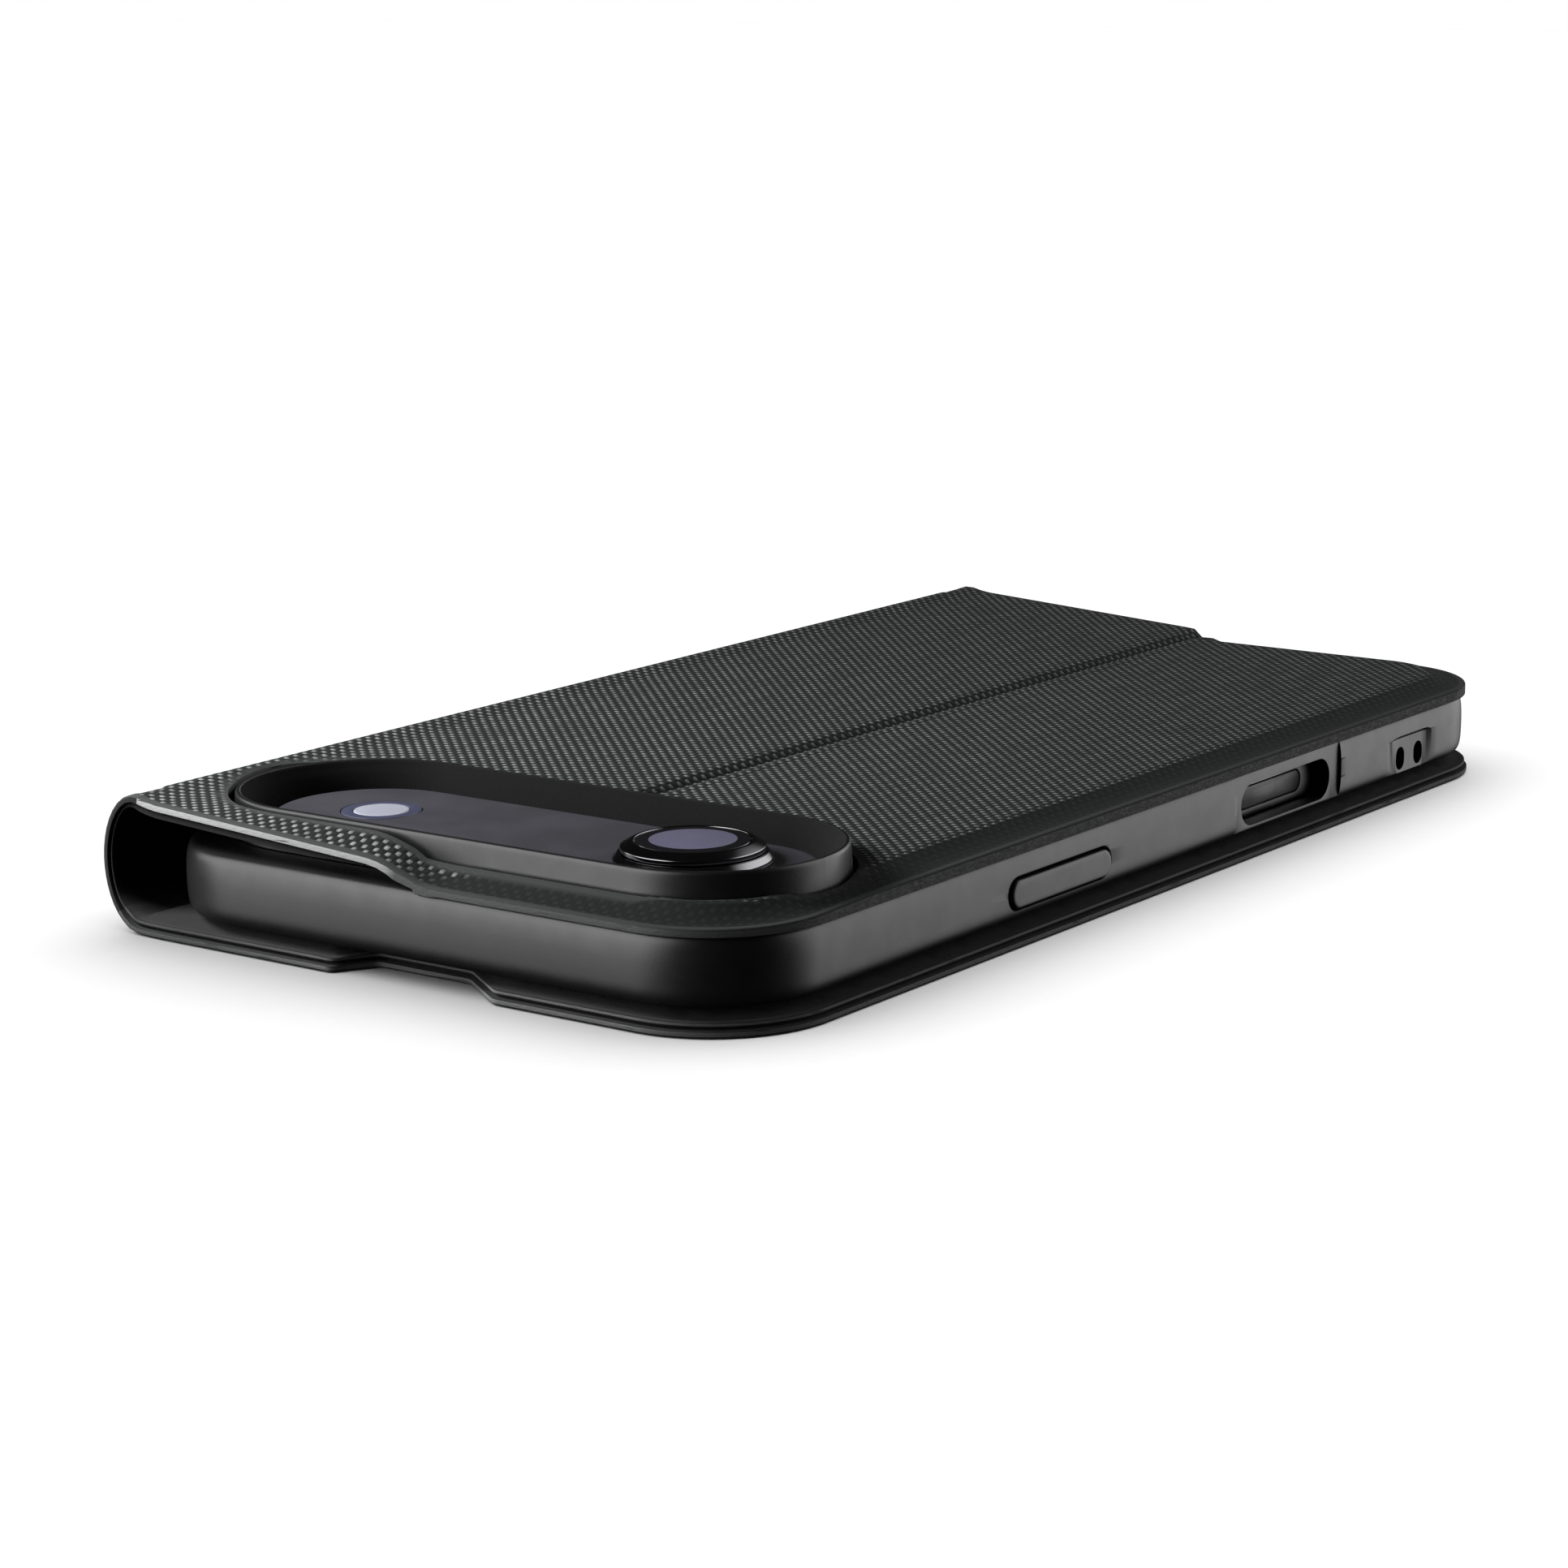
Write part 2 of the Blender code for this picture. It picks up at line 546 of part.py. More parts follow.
def make_phone(frame_look, glass_look, screen_look):
    profile = ((1.0, 0.1), (0.45, 0.25), (0.12, 0.7), (0.0, 1.4))
    sections = []
    for inset, height in profile:
        outline = centred_outline(PHONE_WIDTH, PHONE_LENGTH, PHONE_CORNER, inset * MM)
        sections.append((outline, SCREEN_Z + height * MM))
    for inset, depth in reversed(profile):
        outline = centred_outline(PHONE_WIDTH, PHONE_LENGTH, PHONE_CORNER, inset * MM)
        sections.append((outline, PHONE_BACK_Z - depth * MM))
    frame = loft("phone_frame", sections, frame_look)
    sheet = centred_outline(PHONE_WIDTH, PHONE_LENGTH, PHONE_CORNER, 1.5 * MM)
    recess = centred_outline(PHONE_WIDTH, PHONE_LENGTH, PHONE_CORNER, 1.4 * MM)
    back_seat = PHONE_BACK_Z - 0.6 * MM
    front_seat = SCREEN_Z + 0.6 * MM
    cut(frame, cutter(plate("back_glass_recess", recess, back_seat, PHONE_BACK_Z + MM, None)))
    cut(frame, cutter(plate("screen_recess", recess, SCREEN_Z - MM, front_seat, None)))
    low, high = CONTROL_Y[0] + 3 * MM, CONTROL_Y[1] - 3 * MM
    key_z = (CONTROL_Z[0] + 1.0 * MM, CONTROL_Z[1] - 1.0 * MM)
    cut(frame, wall_cutter("control_key_recess", (low, high), key_z,
                           (PHONE_WIDTH / 2 - 0.6 * MM, PHONE_WIDTH / 2 + THROUGH)))
    socket = centred_outline(2.8 * MM, 9.0 * MM, 1.4 * MM,
                             centre=((SCREEN_Z + PHONE_BACK_Z) / 2, 0.0))
    cut(frame, cutter(loft("charging_socket_cutter", [(socket, PHONE_LENGTH / 2 - 6 * MM),
                                                      (socket, PHONE_LENGTH / 2 + THROUGH)], None, "y")))
    hang(frame, ROOT)
    hang(plate("phone_back_glass", sheet, back_seat + GLUE_LINE, PHONE_BACK_Z, glass_look), ROOT)
    hang(plate("phone_screen", sheet, SCREEN_Z, front_seat - GLUE_LINE, screen_look), ROOT)
    inset = 0.15 * MM
    outline = rounded_outline((along(low), key_z[0]), (along(high), key_z[1]),
                              [(key_z[1] - key_z[0]) / 2] * 4, inset)
    key = loft("camera_control_key", [(outline, PHONE_WIDTH / 2 - 0.5 * MM),
                                      (outline, PHONE_WIDTH / 2 - 0.02 * MM)], screen_look, "x")
    hang(key, ROOT)


def make_camera_bar(look):
    base = PHONE_BACK_Z + GLUE_LINE
    centre = (0.0, CAMERA_Y)
    sections = [(slot_outline(BAR_SIZE, 0.0, centre), base)]
    for inset, drop in ((0.0, 0.8), (0.12, 0.35), (0.35, 0.1), (0.8, 0.0)):
        sections.append((slot_outline(BAR_SIZE, inset * MM, centre), BAR_TOP_Z - drop * MM))
    bar = loft("camera_bar", sections, look)
    for name, place, radius, depth in (("flash_seat", FLASH_X, 4.5, 0.5), ("lens_seat", LENS_X, 6.2, 1.2)):
        outline = centred_outline(2 * radius * MM, 2 * radius * MM, radius * MM,
                                  centre=(place, CAMERA_Y))
        cut(bar, cutter(plate(name, outline, BAR_TOP_Z - depth * MM, BAR_TOP_Z + THROUGH, None)))
    hang(bar, ROOT)


def ring_profile(inner, outer, bottom, top, bevel):
    """Closed section of a ring, down its outer side first, in mm."""
    points = [(outer - bevel, top), (outer, top - bevel), (outer, bottom), (inner, bottom),
              (inner, top - bevel), (inner + bevel, top)]
    return [(radius * MM, height * MM) for radius, height in points]


def disc_profile(radius, bottom, top, bevel):
    """Open section of a disc from the axis, out over its top and back under it, in mm."""
    points = [(0.0, top), (radius - bevel, top), (radius, top - bevel), (radius, bottom), (0.0, bottom)]
    return [(distance * MM, height * MM) for distance, height in points]


def make_lens_and_flash(metal_look, dark_look, glass_look, flash_look, diffuser_look):
    lens = (LENS_X, CAMERA_Y)
    flash = (FLASH_X, CAMERA_Y)
    turned("lens_base_ring", ring_profile(6.9, 8.2, 12.3, 13.3, 0.25), lens, metal_look, 48)
    turned("lens_bezel", ring_profile(5.6, 7.4, 13.4, 14.5, 0.3), lens, metal_look, 48)
    turned("lens_barrel", ring_profile(4.2, 5.9, 11.2, 13.2, 0.3), lens, dark_look)
    turned("lens_glass", disc_profile(5.5, 13.5, 14.2, 0.1), lens, glass_look, 48)
    turned("flash_window", ring_profile(3.1, 4.3, 11.8, 12.25, 0.1), flash, flash_look)
    turned("flash_diffuser", disc_profile(3.0, 11.8, 12.3, 0.1), flash, diffuser_look)


# -------------------------------------------------------------------- assembly

clear_scene()
PARTS = new_collection("phone_wallet_case")
CUTTERS = new_collection("cutters")
TRAY_X = -(SPINE_CENTRE[0] - SPINE_REACH + EDGE_X) / 2

ROOT = Hinge("case_root", 0.0, 0.0)
STAND = Hinge("stand_fold_hinge", CREASE_X, CREASE_Z, ROOT)
FREE_PANEL = Hinge("free_panel_tilt", CREASE_X, CREASE_Z, STAND, FREE_PANEL_TILT)
SPINE = Hinge("spine_hinge", *SPINE_HINGE, STAND)
GUTTER = Hinge("gutter_hinge", *GUTTER_HINGE, SPINE)
FLAP = Hinge("flap_hinge", *FLAP_HINGE, GUTTER)
ROOT.empty.location.x = TRAY_X

WOVEN_BLACK = (0.018, 0.019, 0.018)
CHARCOAL = (0.075, 0.076, 0.078)

tray_plastic = material("tray_plastic", CHARCOAL, 0.42)
make_tray_shell(tray_plastic)
make_camera_guard_ring(material("ring_plastic", CHARCOAL, 0.38))
make_tray_lining(material("microfibre", (0.05, 0.05, 0.052), 0.95))
pad_plastic = material("pad_plastic", CHARCOAL, 0.45)
make_button_pad("side_button_pad", SIDE_KEY_Y, 1, pad_plastic)
make_button_pad("action_button_pad", ACTION_KEY_Y, -1, pad_plastic)
make_button_pad("volume_up_pad", VOLUME_UP_Y, -1, pad_plastic)
make_button_pad("volume_down_pad", VOLUME_DOWN_Y, -1, pad_plastic)

woven = material("woven_skin", WOVEN_BLACK, 0.55)
board = material("board", (0.25, 0.22, 0.18), 0.8)
lining = material("cover_lining", (0.03, 0.03, 0.031), 0.9)
make_fixed_cover(woven, board)
make_free_cover(woven, board, lining)
make_spine(woven, lining)
make_flap(woven, board, lining, material("magnet", (0.5, 0.5, 0.52), 0.3, 1.0))
make_card_pocket(lining)

dark_glass = material("dark_glass", (0.06, 0.058, 0.066), 0.2)
make_phone(material("phone_metal", (0.09, 0.09, 0.095), 0.35, 1.0), dark_glass,
           material("screen_glass", (0.01, 0.01, 0.012), 0.08))
make_camera_bar(dark_glass)
make_lens_and_flash(material("polished_metal", (0.75, 0.74, 0.76), 0.12, 1.0),
                    material("lens_black", (0.01, 0.01, 0.012), 0.3),
                    material("lens_cover", (0.12, 0.11, 0.16), 0.05),
                    material("flash_lens", (0.25, 0.27, 0.4), 0.15),
                    material("flash_diffuser", (0.85, 0.84, 0.93), 0.3))
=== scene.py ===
"""Looks for the phone wallet case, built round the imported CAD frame.

Shapes are worked out in mm from the tray's centre line, in the CAD's own directions.
"""
import math

import bmesh
import bpy
import numpy as np
from mathutils import Matrix, Vector
from mathutils.geometry import delaunay_2d_cdt


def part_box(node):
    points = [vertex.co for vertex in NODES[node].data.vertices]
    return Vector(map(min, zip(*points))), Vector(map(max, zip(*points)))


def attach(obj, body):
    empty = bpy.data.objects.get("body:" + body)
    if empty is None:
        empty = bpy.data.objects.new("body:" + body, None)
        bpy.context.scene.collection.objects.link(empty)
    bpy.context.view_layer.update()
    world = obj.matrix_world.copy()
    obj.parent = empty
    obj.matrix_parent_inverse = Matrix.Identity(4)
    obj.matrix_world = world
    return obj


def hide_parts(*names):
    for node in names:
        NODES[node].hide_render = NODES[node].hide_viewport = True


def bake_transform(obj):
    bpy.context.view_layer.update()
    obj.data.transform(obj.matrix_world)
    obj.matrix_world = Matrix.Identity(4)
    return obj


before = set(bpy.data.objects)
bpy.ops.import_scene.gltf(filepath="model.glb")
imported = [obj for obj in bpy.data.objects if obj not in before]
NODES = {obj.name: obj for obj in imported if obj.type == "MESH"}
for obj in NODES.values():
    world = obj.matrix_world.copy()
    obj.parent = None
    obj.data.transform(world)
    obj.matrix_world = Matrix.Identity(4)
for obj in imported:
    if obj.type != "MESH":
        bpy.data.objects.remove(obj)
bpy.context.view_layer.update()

MM = 0.001
SHARP = 35


def middle_x(node):
    low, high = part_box(node)
    return (low.x + high.x) / 2


TRAY_X = middle_x("tray_shell")


def cad(node):
    """A CAD node's lowest and highest corners, in mm from the tray's centre line."""
    low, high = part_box(node)
    shift = Vector((TRAY_X, 0.0, 0.0))
    return (low - shift) / MM, (high - shift) / MM


def place(x, y, z):
    """A point in the row frame, in metres."""
    return Vector((TRAY_X + x * MM, y * MM, z * MM))


# Driving sizes, read from the frame
TRAY_HALF = cad("tray_shell")[1].xy
TRAY_TOP = cad("tray_shell")[1].z
PHONE_HALF = cad("phone_frame")[1].xy
SCREEN_Z = cad("phone_frame")[0].z
PHONE_BACK_Z = cad("phone_frame")[1].z
RING_LOW, RING_HIGH = cad("camera_guard_ring")
RING_SIZE = (RING_HIGH.x - RING_LOW.x, RING_HIGH.y - RING_LOW.y)
CAMERA = ((RING_LOW.x + RING_HIGH.x) / 2, (RING_LOW.y + RING_HIGH.y) / 2)
COVER_EDGE = cad("back_skin_fixed")[1].x
COVER_END = cad("back_skin_fixed")[1].y
PLATEAU_Z = cad("back_skin_fixed")[1].z
FLAP_EDGE, FLAP_END = cad("flap_skin")[1].xy

# Sizes shared with the CAD source
TRAY_CORNER = 13.2
PHONE_CORNER = 11.1
PHONE_PLAY = 0.15
POCKET_Z = (3.05, 9.25)
LIP_REACH = 1.2
COVER_CORNER = 13.4
RING_WALL = 1.6
SPIGOT_WALL = 0.7
HOLE_CLEARANCE = 0.4
CREASE = (-2.6, 12.0)
PANEL_TILT = math.radians(3.3)
PANEL_TOP = 12.65
PANEL_FLAT_END = -36.8
SPINE_CENTRE = (-39.5, 7.6)
SPINE_REACH = 5.0
SPINE_RISE = 7.55


# ---- small maths

def smoothstep(low, high, value):
    share = np.clip((value - low) / (high - low), 0.0, 1.0)
    return share * share * (3 - 2 * share)


def through(points, steps):
    """A smooth line through control points (Catmull-Rom), as a list of tuples."""
    ends = [points[0]] + list(points) + [points[-1]]
    line = []
    for p0, p1, p2, p3 in zip(ends, ends[1:], ends[2:], ends[3:]):
        for step in range(steps):
            t = step / steps
            line.append(tuple(
                0.5 * (2 * b + (c - a) * t + (2 * a - 5 * b + 4 * c - d) * t * t
                       + (3 * b - a - 3 * c + d) * t ** 3)
                for a, b, c, d in zip(p0, p1, p2, p3)))
    line.append(tuple(points[-1]))
    return line


def rounded_outline(low, high, radii, inset=0.0, steps=14):
    """Rectangle with four corner radii, counter-clockwise from the near left."""
    x0, y0 = low[0] + inset, low[1] + inset
    x1, y1 = high[0] - inset, high[1] - inset
    corners = [(x0, y0, 1, 1), (x1, y0, -1, 1), (x1, y1, -1, -1), (x0, y1, 1, -1)]
    outline = []
    for index, (x, y, inward_x, inward_y) in enumerate(corners):
        radius = max(radii[index] - inset, 0.05)
        for step in range(steps + 1):
            angle = math.radians(180 + 90 * (index + step / steps))
            outline.append((x + inward_x * radius + radius * math.cos(angle),
                            y + inward_y * radius + radius * math.sin(angle)))
    return outline


def centred_outline(size, radius, inset=0.0, centre=(0.0, 0.0), steps=14):
    low = (centre[0] - size[0] / 2, centre[1] - size[1] / 2)
    high = (centre[0] + size[0] / 2, centre[1] + size[1] / 2)
    return rounded_outline(low, high, [radius] * 4, inset, steps)


def subdivided(line, closed, count_for):
    """The same line with each piece cut into as many parts as count_for gives for its length."""
    ends = list(line) + [line[0]] if closed else list(line)
    result = []
    for first, second in zip(ends, ends[1:]):
        count = count_for(math.dist(first, second))
        for index in range(count):
            share = index / count
            result.append(tuple(a + (b - a) * share for a, b in zip(first, second)))
    return result if closed else result + [tuple(line[-1])]


def spaced(line, step, closed=False):
    """The same line with its repeats left out and no two points further apart than step."""
    return subdivided(line, closed, lambda length: math.ceil(length / step) if length > 1e-6 else 0)


def slot_outline(size, inset=0.0, centre=CAMERA, steps=24):
    """A slot with fully round ends."""
    return centred_outline(size, min(size) / 2, inset, centre, steps)


def shifted(line, distance, closed=False):
    """The line moved to its left by distance, with its corners mitred."""
    points = np.array(line, float)
    before, after = points[-1:], points[:1]
    if not closed:
        before, after = points[:1] * 2 - points[1:2], points[-1:] * 2 - points[-2:-1]
    along = np.diff(np.vstack([before, points, after]), axis=0)
    along /= np.linalg.norm(along, axis=1)[:, None]
    left = np.stack([-along[:, 1], along[:, 0]], 1)
    bisector = left[:-1] + left[1:]
    bisector /= (bisector * left[:-1]).sum(1)[:, None]
    return [tuple(point) for point in points + bisector * distance]


def distance_to(points, line, closed=False):
    """Distance from each point to a line, both in two dimensions."""
    line = np.array(list(line) + [line[0]] if closed else line, float)
    start, span = line[:-1], np.diff(line, axis=0)
    length = np.maximum((span ** 2).sum(1), 1e-12)
    nearest = np.full(len(points), 1e9)
    for first, along, size in zip(start, span, length):
        share = np.clip(((points - first) @ along) / size, 0, 1)
        gap = points - first - share[:, None] * along
        nearest = np.minimum(nearest, (gap ** 2).sum(1))
    return np.sqrt(nearest)


# ---- mesh building

def in_scene(name, data):
    """A new object in the scene, of that mesh, camera or lamp."""
    thing = bpy.data.objects.new(name, data)
    bpy.context.scene.collection.objects.link(thing)
    return thing


def add_object(name, shape, looks, sharp=SHARP):
    """An object from a bmesh in mm from the tray's centre line; its end caps are flat."""
    bmesh.ops.recalc_face_normals(shape, faces=shape.faces)
    shape.transform(Matrix.Translation((TRAY_X, 0, 0)) @ Matrix.Scale(MM, 4))
    for face in shape.faces:
        face.smooth = len(face.verts) < 5
    mesh = bpy.data.meshes.new(name)
    shape.to_mesh(mesh)
    shape.free()
    mesh.set_sharp_from_angle(angle=math.radians(sharp))
    for look in looks:
        mesh.materials.append(look)
    return in_scene(name, mesh)


def join_rings(shape, rings, hollow=False):
    """Faces from each ring of points to the next; a hollow shape's last ring also joins its first.

    A ring of one point is a tip.
    """
    joined = rings + rings[:1] if hollow else rings
    for lower, upper in zip(joined, joined[1:]):
        count = max(len(lower), len(upper))
        for index in range(count):
            after = (index + 1) % count
            corners = lower if len(lower) == 1 else [lower[index], lower[after]]
            shape.faces.new(corners + (upper if len(upper) == 1 else [upper[after], upper[index]]))


def close_ends(shape, rings):
    shape.faces.new(list(reversed(rings[0])))
    shape.faces.new(rings[-1])


def loft(name, sections, looks, axis="z", hollow=False):
    """A closed solid through outlines of equal point count, one per level.

    On axis z an outline is (x, y), on x it is (y, z) and on y it is (z, x).
    A hollow one joins its last outline to its first instead of having two ends.
    """
    shape = bmesh.new()
    shift = "zxy".index(axis)
    rings = [[shape.verts.new(np.roll((*spot, level), shift)) for spot in outline]
             for outline, level in sections]
    join_rings(shape, rings, hollow)
    if not hollow:
        close_ends(shape, rings)
    return add_object(name, shape, looks)


def stacked(name, outline_at, levels, looks, axis="z", hollow=False):
    """A loft of one outline: levels are its inset and its place along the axis."""
    return loft(name, [(outline_at(inset), level) for inset, level in levels], looks, axis, hollow)


def turned(name, profile, centre, look, steps=96):
    """A closed solid turned about the vertical through centre.

    The profile is (radius, height); one that starts and ends on the axis is a disc.
    """
    shape = bmesh.new()
    rings = []
    for radius, height in profile:
        ring = []
        for step in range(steps if radius > 1e-6 else 1):
            angle = 2 * math.pi * step / steps
            ring.append(shape.verts.new((centre[0] + radius * math.cos(angle),
                                         centre[1] + radius * math.sin(angle), height)))
        rings.append(ring)
    join_rings(shape, rings, hollow=profile[0][0] > 0)
    return add_object(name, shape, [look])


def rounded_corner(before, corner, after, reach, steps):
    """Points of a smooth turn that replaces a corner, from reach before it to reach after it."""
    start = corner + (before - corner).normalized() * reach
    end = corner + (after - corner).normalized() * reach
    points = []
    for step in range(steps + 1):
        share = step / steps
        points.append(tuple(start.lerp(corner, share).lerp(corner.lerp(end, share), share)))
    return points


def rounded_section(corners, bevel, steps=4):
    """A closed section with each corner rounded by bevel."""
    corners = [Vector(corner) for corner in corners]
    line = []
    for before, here, after in zip(corners[-1:] + corners, corners, corners[1:] + corners[:1]):
        reach = min(bevel, (before - here).length * 0.45, (after - here).length * 0.45)
        line += rounded_corner(before, here, after, reach, steps)
    return line


def cut(thing, tools):
    """Cuts tools out of thing for good, and removes them."""
    for tool in tools:
        modifier = thing.modifiers.new("cut", "BOOLEAN")
        modifier.operation = "DIFFERENCE"
        modifier.solver = "EXACT"
        modifier.object = tool
    graph = bpy.context.evaluated_depsgraph_get()
    made = bpy.data.meshes.new_from_object(thing.evaluated_get(graph))
    thing.modifiers.clear()
    thing.data = made
    made.set_sharp_from_angle(angle=math.radians(SHARP))
    for tool in tools:
        bpy.data.objects.remove(tool)


# ---- cover's section

class Section:
    """The cover's outer line in the x-z plane, walked from the fixed half's edge.

    It runs over the back, round the spine and along under the flap.
    """

    def __init__(self):
        line = [self.back(x) for x in np.arange(COVER_EDGE, PANEL_FLAT_END, -0.1)]
        line += self.shoulder()
        for angle in np.arange(80.0, -85.0, -0.5):
            line.append(self.ellipse(angle))
        line += [(x, 0.0) for x in np.arange(-38.6, FLAP_EDGE, 0.5)] + [(FLAP_EDGE, 0.0)]
        self.points = np.array(line)
        steps = np.linalg.norm(np.diff(self.points, axis=0), axis=1)
        self.s = np.concatenate([[0.0], np.cumsum(steps)])
        along = np.gradient(self.points, self.s, axis=0)
        along /= np.linalg.norm(along, axis=1)[:, None]
        self.outward = np.stack([along[:, 1], -along[:, 0]], 1)
        self.back_count = int(np.argmin(self.points[:, 0]))

    @staticmethod
    def back(x):
        """The back cover's top: two plateaus with the crease's groove and ridge."""
        height = PLATEAU_Z + (PANEL_TOP - PLATEAU_Z) * smoothstep(0.8, 4.4, -x) - Section.crease(x)
        turn = PANEL_TILT * smoothstep(0.6, 4.6, -x)
        over, up = x - CREASE[0], height - CREASE[1]
        return (CREASE[0] + over * math.cos(turn) + up * math.sin(turn),
                CREASE[1] + up * math.cos(turn) - over * math.sin(turn))

    @staticmethod
    def crease(x):
        """Depth of the crease's groove, and of the ridge beside it, below the plain surface."""
        return 0.62 * np.exp(-((x - CREASE[0]) / 0.75) ** 2) - 0.13 * np.exp(-((x + 0.7) / 0.75) ** 2)

    @staticmethod
    def ellipse(angle):
        turn = math.radians(angle)
        return (SPINE_CENTRE[0] - SPINE_REACH * math.cos(turn),
                SPINE_CENTRE[1] + SPINE_RISE * math.sin(turn))

    def shoulder(self):
        """The bend from the free panel into the spine."""
        start, end = Vector(self.back(PANEL_FLAT_END)), Vector(self.ellipse(80))
        rise = Vector((-math.cos(PANEL_TILT), math.sin(PANEL_TILT)))
        fall = (Vector(self.ellipse(79)) - end).normalized()
        first, second = start + 1.2 * rise, end - 1.2 * fall
        line = []
        for share in np.arange(0.0, 1.0, 0.025):
            a, b, c = (p.lerp(q, share) for p, q in
                       ((start, first), (first, second), (second, end)))
            line.append(tuple(a.lerp(b, share).lerp(b.lerp(c, share), share)))
        return line

    def at_back(self, x):
        """Arc length where the back cover is at x."""
        xs = self.points[:self.back_count, 0]
        return float(np.interp(-x, -xs, self.s[:self.back_count]))

    def at_angle(self, angle):
        """Arc length where the spine is at that angle of its ellipse."""
        gaps = np.linalg.norm(self.points - np.array(self.ellipse(angle)), axis=1)
        return float(self.s[int(np.argmin(gaps))])

    def at_flap(self, x):
        """Arc length where the flap is at x."""
        xs = self.points[self.back_count:, 0]
        return float(np.interp(x, xs, self.s[self.back_count:]))

    def x_at(self, s):
        return np.interp(s, self.s, self.points[:, 0])

    def spot(self, s, y, depth):
        """Points in mm at arc length s and depth in from the outer line."""
        x, z = (np.interp(s, self.s, self.points[:, i]) for i in (0, 1))
        nx, nz = (np.interp(s, self.s, self.outward[:, i]) for i in (0, 1))
        length = np.hypot(nx, nz)
        return np.stack([x - depth * nx / length, y, z - depth * nz / length], 1)


SECTION = Section()
EDGE_STEPS = (0.0, 0.05, 0.14, 0.28, 0.75, 0.95)
POINT_STEP = 1.3
FINE_STEP = 0.32
CLOTH_ROWS = 84
BORDER = 4.4
BORDER_STEPS = (1.6, 2.4, 3.2, 3.8, 4.15, 4.35, 4.5, 4.65, 4.95)


def cloth_rows(half):
    """The y places of a cloth's rows, between the steps at its two edges."""
    return np.linspace(-half + 6.0, half - 6.0, CLOTH_ROWS)


class Cloth:
    """A flat pattern in (s, y) that becomes a closed sheet wrapped on the section."""

    def __init__(self, free, holes, seams, steps=EDGE_STEPS):
        self.edges = [(line, steps, False) for line in free] + [(line, EDGE_STEPS, True) for line in holes]
        self.outline = [point for line in free for point in line]
        self.holes = holes
        self.seams = seams
        self.area = 0.0

    def pattern(self, grid_s, grid_y):
        """Spots and triangles of the flat pattern."""
        points, edges = [], []

        def add(line, closed):
            first, count = len(points), len(line)
            points.extend(line)
            edges.extend((first + i, first + i + 1) for i in range(count - 1))
            if closed:
                edges.append((first + count - 1, first))

        for line, steps, closed in self.edges:
            for step in steps:
                add(shifted(line, step, closed), closed)
        for s, half in self.seams:
            offsets = EDGE_STEPS + BORDER_STEPS
            rows = [-half + o for o in offsets] + [half - o for o in offsets] + list(cloth_rows(half))
            add([(s, y) for y in sorted(rows)], False)
        grid = np.array([(s, y) for s in grid_s for y in grid_y])
        gap = min(np.min(np.diff(grid_s)), np.min(np.diff(grid_y)))
        kept = np.ones(len(grid), bool)
        for line, steps, closed in self.edges:
            kept &= distance_to(grid, line, closed) > steps[-1] + 0.45 * gap
        for s, half in self.seams:
            kept &= np.abs(grid[:, 0] - s) > 0.3 * gap
        points.extend(tuple(point) for point in grid[kept])
        made = delaunay_2d_cdt([Vector(point) for point in points], edges, [], 0, 1e-4)
        spots, faces = np.array([tuple(v) for v in made[0]]), np.array(made[2])
        centres = spots[faces].mean(1)
        inside = within(centres, self.outline)
        for line in self.holes:
            inside &= ~within(centres, line)
        return spots, faces[inside]

    def build(self, name, grid_s, grid_y, outer, inner, looks, marks=None):
        """The sheet as an object: outer and inner give the depths of its two faces."""
        spots, faces = self.pattern(grid_s, grid_y)
        (s0, y0), (s1, y1), (s2, y2) = (spots[faces[:, i]].T for i in range(3))
        self.area = float(np.abs((s1 - s0) * (y2 - y0) - (s2 - s0) * (y1 - y0)).sum() / 2)
        used, faces = np.unique(faces, return_inverse=True)
        faces = faces.reshape(-1, 3).tolist()
        spots = spots[used]
        s, y = spots.T
        edge = np.min([distance_to(spots, line, closed) for line, steps, closed in self.edges], 0)
        rounding = soft_edge(edge)
        shape = bmesh.new()
        pattern_map = shape.loops.layers.uv.new("weave")
        layers = {key: shape.verts.layers.float.new(key) for key in ("plain", "pressed", "pale")}
        values = {"plain": 1 - smoothstep(0.72, 0.97, edge)}
        values.update(marks(s, y) if marks else {})
        both = []
        for side in (SECTION.spot(s, y, outer(s, y) + rounding),
                     SECTION.spot(s, y, inner(s, y) - 0.4 * rounding)):
            verts = [shape.verts.new(spot) for spot in side]
            for key, layer in layers.items():
                for vert, value in zip(verts, values.get(key, np.zeros(len(s)))):
                    vert[layer] = float(value)
            both.append(verts)
        upper, lower = both

        def add_face(corners, numbers, look):
            made = shape.faces.new(corners)
            made.material_index = look
            for loop, number in zip(made.loops, numbers):
                loop[pattern_map].uv = (spots[number][0] * MM, spots[number][1] * MM)

        sides = {}
        for face in faces:
            add_face([upper[i] for i in reversed(face)], face[::-1], 0)
            add_face([lower[i] for i in face], face, 2)
            sides.update(dict.fromkeys(zip(face, face[1:] + face[:1])))
        for first, second in sides:
            if (second, first) not in sides:
                add_face([upper[first], upper[second], lower[second], lower[first]],
                         [first, second, second, first], 1)
        return add_object(name, shape, looks, 40)


def within(spots, outline):
    """Even-odd test of which spots lie inside a closed outline."""
    xs, ys = np.array(outline).T
    found = np.zeros(len(spots), bool)
    for x0, y0, x1, y1 in zip(xs, ys, np.roll(xs, -1), np.roll(ys, -1)):
        if y0 == y1:
            continue
        crosses = (spots[:, 1] < y0) != (spots[:, 1] < y1)
        found ^= crosses & (spots[:, 0] < x0 + (spots[:, 1] - y0) / (y1 - y0) * (x1 - x0))
    return found


